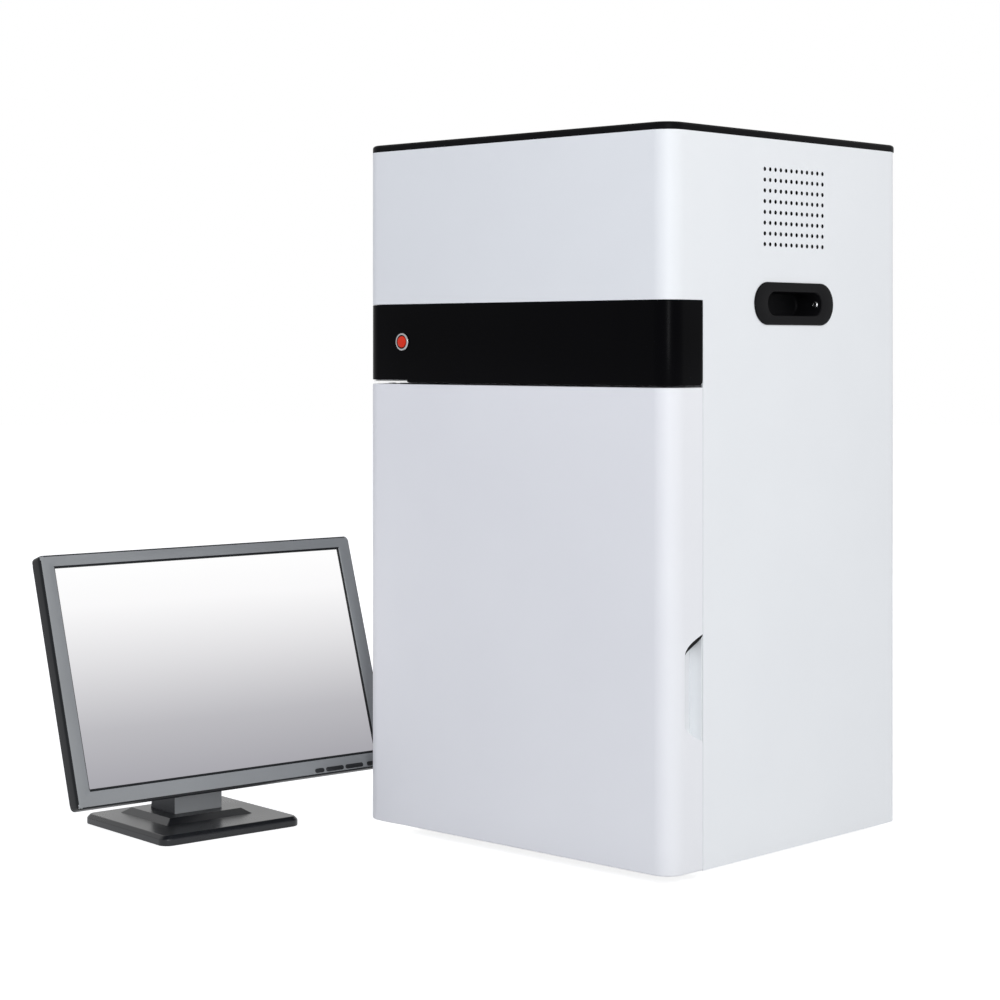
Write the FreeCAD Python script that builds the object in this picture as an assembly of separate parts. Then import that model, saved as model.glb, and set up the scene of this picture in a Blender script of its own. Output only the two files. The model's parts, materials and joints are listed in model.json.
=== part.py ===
import FreeCAD, Part
import math
import os

# Gel documentation system: a dark cabinet with a hinged door, a filter wheel and camera
# in its head, a UV table in its chamber, and a desktop display that stands beside it.
# Millimetres, +Z up. The origin is on the bench under the middle of the cabinet, the
# door faces -Y and the side with the vents is at +X.

V = FreeCAD.Vector

# Cabinet body
cabinet_width = 440.0
cabinet_depth = 408.0
foot_height = 10.0
shell_height = 744.0
shell_wall = 2.0
corner_radius = 22.0
rear_panel_thick = 2.0
rear_flange = 22.0
cap_thick = 8.0
cap_edge_radius = 3.5
cap_rim_depth = 6.0
cap_rim_wall = 3.0
pan_thick = 2.0
pan_flange_height = 25.0
deck_thick = 3.0

# Clearances
seat_gap = 0.3
run_gap = 0.06
seam_gap = 0.6
door_gap = 2.0
swing_gap = 2.2

# Head of the cabinet above the door, and the band across its front
head_height = 255.5
band_height = 85.5
band_thick = 3.0
side_return = 52.4
band_corner_radius = 5.0
notch_height = 2.5

# Door and its hinge
door_wall = 2.5
door_lift = 0.5
door_corner_cut = 4.0
hinge_from_left = 22.0
pin_radius = 4.0
pin_reach = 16.0
bush_radius = 7.0
bush_length = 15.0
hinge_plate_thick = 2.0
hinge_plate_width = 36.0
hinge_plate_edge = 8.0
hinge_plate_reach = 46.0
hinge_plate_tail = 40.0
liner_setback = 44.0
liner_thick = 3.0
seal_rib_height = 11.0
seal_thick = 3.7
seal_width = 10.0
seal_overlap = 5.0

# Finger scoop in the door's right return
scoop_bottom = 140.2
scoop_top = 248.4
scoop_front = 24.0
scoop_slant_top = 20.0
scoop_slant_bottom = 12.0
scoop_corner = 9.0
scoop_depth = 16.0
scoop_wall = 2.0

# Chamber
frame_setback = 62.0
frame_thick = 2.0
opening_side_margin = 46.0
opening_bottom = 34.0
opening_top_margin = 28.5
chamber_side_gap = 28.0
chamber_wall = 1.5
chamber_rear_gap = 11.0

# Catches and door sensor
catch_size = 20.0
catch_height = 34.0
catch_length = 6.0
catch_inset = 15.0
catch_low_z = 90.0
catch_below_band = 78.5
sensor_width = 10.0
sensor_height = 26.0
sensor_length = 5.0
sensor_below_band = 36.5

# Rubber feet
foot_radius = 18.0
foot_from_side = 70.0
foot_from_front = 86.0
foot_from_rear = 39.0
foot_recess_radius = 6.0
foot_recess_depth = 6.0

# Panel screws
screw_radius = 2.0
screw_head_radius = 3.8
screw_head_height = 2.2
screw_length = 8.0

# Vents and fan
vent_columns = 12
vent_rows = 8
vent_pitch_y = 9.25
vent_pitch_z = 11.16
vent_radius = 2.2
vent_centre_y = 2.5
vents_below_top = 70.8
fan_size = 80.0
fan_depth = 25.0
fan_bore_radius = 38.0
fan_tip_gap = 1.5
fan_hub_radius = 16.0
fan_axle_radius = 2.0
fan_blades = 7

# Side handles
handle_y = 2.2
handle_below_top = 171.4
flange_length = 138.2
flange_height = 44.7
flange_thick = 2.0
cup_length = 94.7
cup_height = 25.1
cup_depth = 34.0
cup_wall = 2.2
cup_pin_depth = 6.4
cup_pin_length = 5.0
cup_spot_depth = 0.2

# Start button
button_from_left = 60.9
button_above_band_foot = 44.5
button_ring_radius = 9.8
button_ring_proud = 2.0
button_cap_radius = 6.8
button_barrel_wall = 1.1
button_cap_length = 9.0
button_cap_proud = 0.4
button_travel = 2.0
button_spring_room = 5.4
button_nut_thick = 5.0
switch_block_size = 20.0
switch_block_length = 18.0

# Filter wheel and motor
optic_y = 25.0
wheel_lift = 5.0
wheel_thick = 6.0
wheel_radius = 95.0
wheel_offset = 62.0
filter_count = 6
filter_radius = 22.0
filter_ledge = 2.5
filter_thick = 3.0
hub_radius = 11.0
hub_height = 8.0
shaft_radius = 2.5
motor_size = 42.3
motor_length = 40.0
motor_boss_radius = 11.0
bridge_clear = 12.0
bridge_thick = 3.0
bridge_margin = 17.0

# Lens and camera
lens_radius = 25.0
lens_bore_radius = 18.0
lens_wheel_gap = 6.0
lens_length = 86.0
focus_ring_thick = 5.0
focus_ring_length = 20.0
focus_ring_lift = 42.0
camera_width = 90.0
camera_height = 86.0
camera_edge = 4.0
bracket_width = 100.0
bracket_thick = 3.0
bracket_foot = 34.0
deck_hole_radius = 27.0

# Lamps above the sample
epi_width = 36.0
epi_height = 38.0
epi_length = 180.0
epi_chamfer = 26.0
epi_window_thick = 3.0

# UV table
case_side_gap = 18.5
case_rear_gap = 3.0
case_height = 80.0
case_wall = 2.0
case_top_thick = 7.0
tube_end_cover = 16.0
table_end_margin = 32.0
uv_glass_ledge = 7.0
uv_glass_thick = 4.0
tube_count = 6
tube_radius = 8.0
tube_row_margin = 2.0
tube_height = 36.0
holder_thick = 12.0
holder_end_gap = 12.0
holder_height = 54.0
converter_overlap_x = 22.0
converter_overlap_y = 17.0
converter_thick = 4.0
converter_grip = 40.0

# Electronics in the head
supply_size = (100.0, 150.0, 42.0)
supply_side_gap = 13.0
supply_y = 14.0
board_size = (100.0, 150.0, 1.6)
board_y = -150.0
board_stand = 8.0

# Mains inlet, rocker switch and data ports in the rear panel
inlet_from_side = 68.0
inlet_lift = 57.0
inlet_length = 62.0
inlet_height = 34.0
inlet_plate_thick = 2.5
inlet_depth = 30.0
socket_length = 24.0
socket_height = 17.0
socket_depth = 18.0
rocker_radius = 11.0
rocker_sink = 7.0
rocker_width = 12.0
rocker_tilt = 8.0
rocker_cut_size = 40.0
ports_x = 60.0
ports_length = 60.0
ports_height = 24.0
ports_plate_thick = 1.5
port_depth = 12.0

# Display
display_x = -345.0
display_y = -330.0
display_yaw = 83.5
display_rest_tilt = 18.0
panel_width = 408.0
panel_height = 272.0
panel_corner = 5.0
bezel_depth = 16.0
bezel_side = 18.0
bezel_top = 15.0
bezel_bottom = 20.0
bezel_lip = 3.0
screen_overlap = 6.0
screen_thick = 9.0
cover_depth = 28.0
cover_step = 2.0
cover_taper = 40.0
cover_wall = 2.5
panel_bottom_clear = 52.0
knuckle_radius = 13.0
knuckle_gap = 3.5
ear_thick = 8.0
tilt_pin_radius = 4.0
neck_width = 62.0
neck_depth = 50.0
base_width = 180.0
base_length = 172.0
base_thick = 11.0
base_corner = 12.0
base_bevel = 4.0
pad_width = 112.0
pad_length = 100.0
pad_height = 6.0
key_height = 5.0
key_above_foot = 5.6
menu_key_lengths = (24.8, 24.4, 12.6)
menu_key_spacing = 2.5
power_key_length = 24.6
power_key_from_right = 21.7
first_menu_key_from_right = 51.8
key_proud = 0.8
key_body = 8.0
key_gap = 0.3

# Heights and planes that follow from the sizes above
front = -cabinet_depth / 2
rear = cabinet_depth / 2
half_width = cabinet_width / 2
shell_bottom = foot_height
shell_top = shell_bottom + shell_height
shell_rear = rear - rear_panel_thick
inner_half = half_width - shell_wall
band_bottom = shell_top - head_height
band_top = band_bottom + band_height
door_bottom = shell_bottom + door_lift
door_top = band_bottom - door_gap
door_rear = front + side_return
pan_top = shell_bottom + pan_thick
deck_bottom = band_bottom + hinge_plate_thick - 0.5
deck_top = deck_bottom + deck_thick
frame_face = front + frame_setback
frame_rear = frame_face + frame_thick
hinge_x = -half_width + hinge_from_left
hinge_y = front + hinge_from_left
notch_end_x = hinge_x + hinge_plate_reach
opening_half_width = inner_half - opening_side_margin
opening_top = band_bottom - opening_top_margin
chamber_half_width = inner_half - chamber_side_gap
catch_high_z = band_bottom - catch_below_band
sensor_z = band_bottom - sensor_below_band
foot_x = half_width - foot_from_side
foot_front_y = front + foot_from_front
foot_rear_y = rear - foot_from_rear
vent_centre_z = shell_top - vents_below_top
handle_z = shell_top - handle_below_top
button_x = -half_width + button_from_left
button_z = band_bottom + button_above_band_foot
case_half_width = chamber_half_width - chamber_wall - case_side_gap
tube_length = 2 * (case_half_width - case_wall - holder_end_gap - holder_thick)
table_opening_x = tube_length - 2 * tube_end_cover
case_length = 2 * (foot_rear_y - screw_radius - case_rear_gap - optic_y)
table_opening_y = case_length - 2 * table_end_margin
tube_pitch = (table_opening_y - tube_row_margin) / tube_count
converter_x = table_opening_x + 2 * converter_overlap_x
converter_y = table_opening_y + 2 * converter_overlap_y
supply_x = -inner_half + supply_side_gap
board_x = supply_x
inlet_x = -inner_half + inlet_from_side
inlet_z = deck_top + inlet_lift
ports_z = inlet_z
button_barrel_length = (button_cap_length - button_ring_proud - button_cap_proud + button_travel
                        + button_spring_room)


def box(x, y, z):
    """A block between a low and a high value on each axis."""
    return Part.makeBox(x[1] - x[0], y[1] - y[0], z[1] - z[0], V(x[0], y[0], z[0]))


def span(middle, size):
    """The low and high value of a size centred on a place."""
    return (middle - size / 2, middle + size / 2)


def rod(start, axis, radius, length):
    """A round bar from a point along an axis."""
    return Part.makeCylinder(radius, length, V(*start), V(*axis))


def straight_edges(shape, axis):
    """The straight edges of a shape that run along an axis."""
    found = []
    for edge in shape.Edges:
        if edge.Curve.TypeId == "Part::GeomLine":
            if abs(abs(edge.tangentAt(edge.FirstParameter).dot(V(*axis))) - 1) < 1e-6:
                found.append(edge)
    return found


def rounded_box(x, y, z, radius, axis=(0, 0, 1)):
    """A block whose edges along one axis are rounded."""
    block = box(x, y, z)
    return block.makeFillet(radius, straight_edges(block, axis))


def stadium(x, length, height, centre_y, centre_z):
    """A plate across X, with half-round ends fore and aft."""
    return rounded_box(x, span(centre_y, length), span(centre_z, height), height / 2 - 0.01, (1, 0, 0))


def prism(points, vector):
    """A straight solid over a flat outline."""
    corners = [V(*p) for p in points]
    return Part.Face(Part.makePolygon(corners + corners[:1])).extrude(V(*vector))


def loft(low, high):
    """A tapered solid between two flat outlines."""
    wires = [Part.makePolygon([V(*p) for p in outline + outline[:1]]) for outline in (low, high)]
    return Part.makeLoft(wires, True, True)


def rectangle(x, y, z):
    """The four corners of a level rectangle."""
    return [(x[0], y[0], z), (x[1], y[0], z), (x[1], y[1], z), (x[0], y[1], z)]


def inset(outline, wall, shift):
    """An upright rectangle drawn in by a wall on all sides and moved along Y."""
    middle_x = (outline[0][0] + outline[1][0]) / 2
    middle_z = (outline[0][2] + outline[2][2]) / 2
    return [(x - math.copysign(wall, x - middle_x), y + shift, z - math.copysign(wall, z - middle_z))
            for x, y, z in outline]


def mirrored(shape):
    """The same shape on the other side of the cabinet's middle plane."""
    return shape.mirror(V(0, 0, 0), V(1, 0, 0))


def pan_screw(seat, axis, length=screw_length):
    """A screw with a domed head on its seat and a shank that goes in along the axis."""
    inward = V(*axis)
    head = Part.makeCylinder(screw_head_radius, screw_head_height, V(*seat), -inward)
    top = [e for e in head.Edges if e.CenterOfMass.distanceToPoint(V(*seat)) > screw_head_height / 2]
    rims = [e for e in top if e.Curve.TypeId == "Part::GeomCircle"]
    head = head.makeFillet(screw_head_height * 0.6, rims)
    head_top = V(*seat) - inward * screw_head_height
    drive = Part.makeCylinder(screw_radius * 0.6, screw_head_height, head_top, inward)
    shank = Part.makeCylinder(screw_radius, length, V(*seat), inward)
    return head.fuse(shank).cut(drive)


def screw_hole(seat, axis, length=screw_length):
    """The bore that a screw passes through, a little wider than its shank."""
    start = V(*seat) - V(*axis) * screw_head_height
    return Part.makeCylinder(screw_radius + run_gap, length + screw_head_height + 1, start, V(*axis))


def display_place(shape, tilted=False):
    """Moves a display piece from its own frame to its place on the bench."""
    placed = shape.copy()
    if tilted:
        placed.rotate(V(0, pivot_y, pivot_z), V(1, 0, 0), -display_rest_tilt)
    placed.rotate(V(0, 0, 0), V(0, 0, 1), display_yaw)
    placed.translate(V(display_x, display_y, 0))
    return placed


nodes = {}


# Cabinet shell: one folded skin with round corners, open at the front and back
def make_shell():
    outer = rounded_box((-half_width, half_width), (front, shell_rear), (shell_bottom, shell_top),
                        corner_radius)
    inner = rounded_box((-inner_half, inner_half), (front + shell_wall, shell_rear - shell_wall),
                        (shell_bottom - 1, shell_top + 1), corner_radius - shell_wall)
    shell = outer.cut(inner)
    shell = shell.cut(box((-half_width - 1, half_width + 1), (front - 1, door_rear + seam_gap),
                          (shell_bottom - 1, band_top + seam_gap)))
    shell = shell.cut(box((-half_width - 1, 0), (front - 1, door_rear + swing_gap),
                          (shell_bottom - 1, band_bottom)))
    flange = inner_half - corner_radius - rear_flange / 2
    shell = shell.cut(box((-flange, flange), (shell_rear - shell_wall - 1, shell_rear + 1),
                          (shell_bottom + rear_flange, shell_top - rear_flange)))
    return shell


def vent_holes():
    """The grid of round holes in each side of the head."""
    holes = []
    for column in range(vent_columns):
        for row in range(vent_rows):
            y = vent_centre_y + (column - (vent_columns - 1) / 2) * vent_pitch_y
            z = vent_centre_z + (row - (vent_rows - 1) / 2) * vent_pitch_z
            for side in (-1, 1):
                holes.append(rod((side * (inner_half - 1), y, z), (side, 0, 0), vent_radius, shell_wall + 2))
    return Part.makeCompound(holes)


rear_seats = []
for height in (shell_bottom + 12, (shell_bottom + shell_top) / 2, shell_top - 12):
    for side in (-1, 1):
        rear_seats.append((side * (inner_half - corner_radius - 2), rear, height))
rear_bores = Part.makeCompound([screw_hole(seat, (0, -1, 0)) for seat in rear_seats])

hinge_seats = []
for x in (hinge_x - 2, hinge_x + 18):
    hinge_seats.append((x, frame_rear + 24, shell_bottom - hinge_plate_thick))
hinge_bores = Part.makeCompound([screw_hole(seat, (0, 0, 1)) for seat in hinge_seats])

cup_hole = stadium((inner_half - 1, half_width + 1), cup_length + 2 * cup_wall + 2 * seat_gap,
                   cup_height + 2 * cup_wall + 2 * seat_gap, handle_y, handle_z)
shell_body = make_shell().cut(vent_holes()).cut(cup_hole).cut(mirrored(cup_hole)).cut(rear_bores)
nodes["cabinet_shell"] = shell_body

# Top cap: a moulded lid with a rounded rim and a collar that drops inside the shell
cap_plate = rounded_box((-half_width, half_width), (front, rear), (shell_top, shell_top + cap_thick),
                        corner_radius)
cap_rim = [e for e in cap_plate.Edges if abs(e.BoundBox.ZMin - shell_top - cap_thick) < 1e-6]
cap_plate = cap_plate.makeFillet(cap_edge_radius, cap_rim)
collar_half = inner_half - seat_gap
collar_y = (front + shell_wall + seat_gap, shell_rear - shell_wall - seat_gap)
collar_radius = corner_radius - shell_wall - seat_gap
collar = rounded_box((-collar_half, collar_half), collar_y, (shell_top - cap_rim_depth, shell_top),
                     collar_radius)
collar_inner = rounded_box((-collar_half + cap_rim_wall, collar_half - cap_rim_wall),
                           (collar_y[0] + cap_rim_wall, collar_y[1] - cap_rim_wall),
                           (shell_top - cap_rim_depth - 1, shell_top), collar_radius - cap_rim_wall)
nodes["top_cap"] = cap_plate.fuse(collar.cut(collar_inner))

# Rear panel: a flat sheet screwed over the opening in the back of the shell
panel_half = inner_half - corner_radius + 8
rear_panel = rounded_box((-panel_half, panel_half), (shell_rear, rear),
                         (shell_bottom + 2, shell_top - 2), 6.0, (0, 1, 0))
inlet_hole = box(span(inlet_x, inlet_length - 6), (shell_rear - 1, rear + 1), span(inlet_z, inlet_height - 6))
ports_hole = box(span(ports_x, ports_length - 6), (shell_rear - 1, rear + 1), span(ports_z, ports_height - 6))
nodes["rear_panel"] = rear_panel.cut(rear_bores).cut(inlet_hole).cut(ports_hole)

# Base pan: the folded floor of the cabinet, with flanges up against the shell
pan_y = (frame_face, shell_rear - shell_wall)
pan = box((-inner_half, inner_half), pan_y, (shell_bottom, shell_bottom + pan_flange_height))
pan = pan.cut(box((-inner_half + pan_thick, inner_half - pan_thick), (pan_y[0] - 1, pan_y[1] - pan_thick),
                  (pan_top, shell_bottom + pan_flange_height + 1)))
pan_trim = rounded_box((-inner_half, inner_half), (pan_y[0] - 2 * corner_radius, pan_y[1]),
                       (shell_bottom - 1, shell_bottom + pan_flange_height + 1), corner_radius - shell_wall)
foot_places = [(sx * foot_x, y) for sx in (-1, 1) for y in (foot_front_y, foot_rear_y)]
foot_seats = [(x, y, foot_recess_depth) for x, y in foot_places]
foot_bores = Part.makeCompound([screw_hole(seat, (0, 0, 1)) for seat in foot_seats])
nodes["base_pan"] = pan.common(pan_trim).cut(foot_bores).cut(hinge_bores).cut(rear_bores)

# Feet: round rubber buttons, each held by a screw in its recess
feet = []
for x, y in foot_places:
    foot = rod((x, y, 0), (0, 0, 1), foot_radius, foot_height)
    lower = [e for e in foot.Edges if e.BoundBox.ZMax < 0.001]
    foot = foot.makeChamfer(1.5, lower)
    feet.append(foot.cut(rod((x, y, -1), (0, 0, 1), foot_recess_radius, foot_recess_depth + 1)))
nodes["rubber_feet"] = Part.makeCompound(feet).cut(foot_bores)

# Camera deck: the shelf that closes the chamber and carries the head's equipment
deck_y = (front + band_thick, shell_rear - shell_wall)
deck_half = inner_half - 1
deck = rounded_box((-deck_half, deck_half), deck_y, (deck_bottom, deck_top), corner_radius - band_thick)
deck = deck.cut(rod((0, optic_y, deck_bottom - 1), (0, 0, 1), deck_hole_radius, deck_thick + 2))
nodes["camera_deck"] = deck

# Front band: the black trim that wraps both front corners and carries the start button
band_outer = rounded_box((-half_width, half_width), (front, rear), (band_bottom, band_top), corner_radius)
band_inner = rounded_box((-half_width + band_thick, half_width - band_thick), (front + band_thick, rear),
                         (band_bottom - 1, band_top + 1), corner_radius - band_thick)
band = band_outer.cut(band_inner)
band = band.common(box((-half_width, half_width), (front, door_rear), (band_bottom, band_top)))
low_ends = [e for e in straight_edges(band, (1, 0, 0))
            if abs(e.BoundBox.YMin - door_rear) < 1e-6 and abs(e.BoundBox.ZMin - band_bottom) < 1e-6]
band = band.makeFillet(band_corner_radius, low_ends)
band = band.cut(box((-half_width - 1, notch_end_x), (front - 1, front + corner_radius),
                    (band_bottom - 1, band_bottom + notch_height)))
barrel_radius = button_cap_radius + run_gap + button_barrel_wall
band = band.cut(rod((button_x, front - 1, button_z), (0, 1, 0), barrel_radius + run_gap, band_thick + 2))
nodes["front_band"] = band

# Front frame: the black sheet portal that the door closes against
frame = box((-inner_half, inner_half), (frame_face, frame_rear), (pan_top, deck_bottom))
frame = frame.cut(box((-opening_half_width, opening_half_width), (frame_face - 1, frame_rear + 1),
                      (opening_bottom, opening_top)))
for side in (-1, 1):
    flange_notch = box(span(side * inner_half, 2 * pan_thick), (frame_face - 1, frame_rear + 1),
                       (0, shell_bottom + pan_flange_height))
    frame = frame.cut(flange_notch)
nodes["front_frame"] = frame

# Chamber liner: three matt black walls that keep light out of the sample space
liner_rear = shell_rear - chamber_rear_gap
liner = box((-chamber_half_width, chamber_half_width), (frame_rear, liner_rear), (pan_top, deck_bottom))
liner = liner.cut(box((-chamber_half_width + chamber_wall, chamber_half_width - chamber_wall),
                      (frame_rear - 1, liner_rear - chamber_wall), (pan_top - 1, deck_bottom + 1)))
nodes["chamber_liner"] = liner

# Hinge plates and pins: a plate above and a plate below the door, each with its pin
plate_rear = frame_rear + hinge_plate_tail
plate_x = (hinge_x - 10, hinge_x - 10 + hinge_plate_width)
lower_plate = rounded_box(plate_x, (front + hinge_plate_edge, plate_rear),
                          (shell_bottom - hinge_plate_thick, shell_bottom), 6.0)
pin_bore = rod((hinge_x, hinge_y, 0), (0, 0, 1), pin_radius, shell_top)
nodes["lower_hinge_plate"] = lower_plate.cut(pin_bore).cut(hinge_bores)
upper_plate = rounded_box((hinge_x - 10, hinge_x + hinge_plate_reach), (front + 1, plate_rear),
                          (deck_bottom - hinge_plate_thick, deck_bottom), 3.0)
upper_plate = upper_plate.cut(box((hinge_x - 11, hinge_x + hinge_plate_reach + 1),
                                  (frame_face - seat_gap, plate_rear + 1), (0, shell_top)))
nodes["upper_hinge_plate"] = upper_plate.cut(pin_bore)
pin_low = shell_bottom - hinge_plate_thick
pin_high = deck_bottom
nodes["hinge_pins"] = Part.makeCompound([
    rod((hinge_x, hinge_y, pin_low), (0, 0, 1), pin_radius, door_bottom - pin_low + pin_reach),
    rod((hinge_x, hinge_y, pin_high), (0, 0, -1), pin_radius, pin_high - door_top + pin_reach)])

# Door skin: a deep shell with round front corners that wraps both sides of the cabinet
skin_outer = rounded_box((-half_width, half_width), (front, rear), (door_bottom, door_top), corner_radius)
skin_inner = rounded_box((-half_width + door_wall, half_width - door_wall), (front + door_wall, rear),
                         (door_bottom + door_wall, door_top - door_wall), corner_radius - door_wall)
skin = skin_outer.cut(skin_inner).common(box((-half_width, half_width), (front, door_rear), (0, shell_top)))
corner_cut = prism([(-half_width - 1, front - 1, door_top + 1),
                    (-half_width - 1, front - 1, door_top - door_corner_cut),
                    (-half_width + door_corner_cut + 1, front - 1, door_top + 1)], (0, side_return / 2, 0))
bush_bore = rod((hinge_x, hinge_y, 0), (0, 0, 1), bush_radius, shell_top)


def scoop_outline(grow):
    """The D-shaped outline of the scoop on the right return, open at the seam."""
    rear_y = door_rear + 1
    front_y = front + scoop_front - grow
    low = scoop_bottom - grow
    high = scoop_top + grow
    return [(rear_y, low), (front_y, low + scoop_slant_bottom),
            (front_y, high - scoop_slant_top), (rear_y, high)]


def scoop_prism(grow, x0, x1):
    """The scoop's outline carried across the return."""
    block = prism([(x0, y, z) for y, z in scoop_outline(grow)], (x1 - x0, 0, 0))
    corners = [e for e in straight_edges(block, (1, 0, 0)) if e.BoundBox.YMax < door_rear]
    return block.makeFillet(scoop_corner + grow, corners)


skin = skin.cut(scoop_prism(0, half_width - 2 * scoop_depth, half_width + 1))
nodes["door_skin"] = skin.cut(bush_bore).cut(corner_cut)

# Bushes: plain bearings in the door's top and bottom walls
bush_low = door_bottom
bush_high = door_top - bush_length
bushes = []
for z in (bush_low, bush_high):
    bush = rod((hinge_x, hinge_y, z), (0, 0, 1), bush_radius, bush_length)
    bushes.append(bush.cut(rod((hinge_x, hinge_y, z - 1), (0, 0, 1), pin_radius + run_gap, bush_length + 2)))
nodes["hinge_bushes"] = Part.makeCompound(bushes)

# Finger scoop: a moulded pocket whose floor slants in towards the seam
scoop_block = scoop_prism(0, half_width - scoop_depth - scoop_wall, half_width - door_wall)
scoop_tray = scoop_prism(scoop_wall, half_width - scoop_depth - scoop_wall, half_width - door_wall)
slant = prism([(half_width - door_wall + 1, front + scoop_front - scoop_wall, 0),
               (half_width - door_wall + 1, door_rear + 1, 0),
               (half_width - scoop_depth, door_rear + 1, 0),
               (half_width - door_wall, front + scoop_front, 0)], (0, 0, shell_top))
hollow = scoop_block.common(slant)
tray_limit = box((0, half_width), (front, door_rear), (0, shell_top))
back_slant = prism([(0, front + scoop_front - 2 * scoop_wall, 0),
                    (half_width - door_wall - scoop_wall, front + scoop_front - 2 * scoop_wall, 0),
                    (half_width - scoop_depth - scoop_wall, door_rear + 1, 0),
                    (0, door_rear + 1, 0)], (0, 0, shell_top))
nodes["finger_scoop"] = scoop_tray.common(tray_limit).cut(hollow).cut(back_slant)

# Door liner: the black inner pan, with a rib that carries the seal
liner_y = front + liner_setback
rib_y = liner_y + liner_thick + seal_rib_height
seal_outer_x = opening_half_width + seal_overlap + seal_width
seal_inner_x = opening_half_width + seal_overlap
seal_outer_z = (opening_bottom - seal_overlap - seal_width, opening_top + seal_overlap + seal_width)
seal_inner_z = (opening_bottom - seal_overlap, opening_top + seal_overlap)


def seal_ring(y):
    """The rectangular ring that runs round the opening."""
    outer = rounded_box((-seal_outer_x, seal_outer_x), y, seal_outer_z, 12.0, (0, 1, 0))
    inner = rounded_box((-seal_inner_x, seal_inner_x), (y[0] - 1, y[1] + 1), seal_inner_z, 4.0, (0, 1, 0))
    return outer.cut(inner)


pan_half = half_width - door_wall - seat_gap
door_liner = box((-pan_half, pan_half), (liner_y, liner_y + liner_thick),
                 (door_bottom + door_wall + seat_gap, door_top - door_wall - seat_gap))
door_liner = door_liner.fuse(seal_ring((liner_y + liner_thick, rib_y)))
door_liner = door_liner.cut(box((half_width - scoop_depth - scoop_wall - 4, half_width),
                                (front, rib_y + 1), (scoop_bottom - 6, scoop_top + 6)))
nodes["door_liner"] = door_liner.cut(rod((hinge_x, hinge_y, 0), (0, 0, 1), bush_radius + 1, shell_top))
seal_face = min(rib_y + seal_thick, frame_face - seat_gap)
nodes["door_seal"] = seal_ring((rib_y, seal_face))

# Catches: magnets on the frame hold steel strikes on the door
catch_x = span(inner_half - catch_inset, catch_size)
magnets = []
strikes = []
magnet_face = frame_face - catch_length
for z in (catch_low_z, catch_high_z):
    magnets.append(rounded_box(catch_x, (magnet_face, frame_face), span(z, catch_height), 2.0, (0, 1, 0)))
    strike_y = (liner_y + liner_thick, magnet_face - seat_gap)
    strikes.append(rounded_box(catch_x, strike_y, span(z, catch_height), 2.0, (0, 1, 0)))
nodes["catch_magnets"] = Part.makeCompound(magnets)
nodes["catch_strikes"] = Part.makeCompound(strikes)

# Door sensor: a sealed switch on the frame, worked by a magnet in the door
sensor_x = span(inner_half - catch_inset, sensor_width)
nodes["door_sensor"] = rounded_box(sensor_x, (frame_face - sensor_length, frame_face),
                                   span(sensor_z, sensor_height), 1.5, (0, 1, 0))
nodes["door_magnet"] = rounded_box(sensor_x, (liner_y + liner_thick, frame_face - sensor_length - 1.0),
                                   span(sensor_z, sensor_height), 1.5, (0, 1, 0))

# Start button: a bright ring on a barrel, the red cap inside it and the switch behind
ring = rod((button_x, front - button_ring_proud, button_z), (0, 1, 0), button_ring_radius, button_ring_proud)
ring_edge = [e for e in ring.Edges if e.BoundBox.YMax < front - button_ring_proud + 0.001]
ring = ring.makeFillet(1.2, ring_edge)
barrel = rod((button_x, front, button_z), (0, 1, 0), barrel_radius, button_barrel_length)
cap_bore = rod((button_x, front - button_ring_proud - 1, button_z), (0, 1, 0), button_cap_radius + run_gap,
               button_barrel_length + button_ring_proud + 2)
nodes["button_bezel"] = ring.fuse(barrel).cut(cap_bore)
cap_front = front - button_ring_proud - button_cap_proud
button_cap = rod((button_x, cap_front, button_z), (0, 1, 0), button_cap_radius, button_cap_length)
cap_edge = [e for e in button_cap.Edges if e.BoundBox.YMax < cap_front + 0.001]
nodes["button_cap"] = button_cap.makeFillet(0.8, cap_edge)
block_y = front + button_barrel_length
nut_y = front + band_thick
nut = rod((button_x, nut_y, button_z), (0, 1, 0), barrel_radius + 4, button_nut_thick)
sleeve = rod((button_x, nut_y, button_z), (0, 1, 0), barrel_radius + 1.5, block_y - nut_y)
block = rounded_box(span(button_x, switch_block_size), (block_y, block_y + switch_block_length),
                    span(button_z, switch_block_size), 2.0, (0, 1, 0))
switch_block = nut.fuse(sleeve).fuse(block)
nodes["switch_block"] = switch_block.cut(rod((button_x, front, button_z), (0, 1, 0), barrel_radius,
                                             button_barrel_length))

# Side handles: a moulded cup in each side, with a bright screw through each end wall
flange_x = (half_width, half_width + flange_thick)
flange = stadium(flange_x, flange_length, flange_height, handle_y, handle_z)
outer_rim = [e for e in flange.Edges if e.BoundBox.XMin > half_width + flange_thick - 0.001]
flange = flange.makeFillet(flange_thick * 0.7, outer_rim)
cup_x = (half_width - cup_depth, half_width + 0.5)
cup = stadium(cup_x, cup_length + 2 * cup_wall, cup_height + 2 * cup_wall, handle_y, handle_z)
cup = cup.fuse(flange)
cup = cup.cut(stadium((half_width - cup_depth + cup_wall, half_width + flange_thick + 1),
                      cup_length, cup_height, handle_y, handle_z))
pins = []
for side in (-1, 1):
    seat = (half_width - cup_pin_depth, handle_y + side * (cup_length / 2 + cup_spot_depth), handle_z)
    pins.append(pan_screw(seat, (0, side, 0), cup_pin_length))
    spot_face = rod(seat, (0, -side, 0), screw_head_radius + run_gap, screw_head_height)
    cup = cup.cut(spot_face).cut(screw_hole(seat, (0, side, 0), cup_pin_length))
nodes["handle_cup_right"] = cup
nodes["handle_cup_left"] = mirrored(cup)
nodes["handle_screws"] = Part.makeCompound(pins + [mirrored(p) for p in pins])

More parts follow.
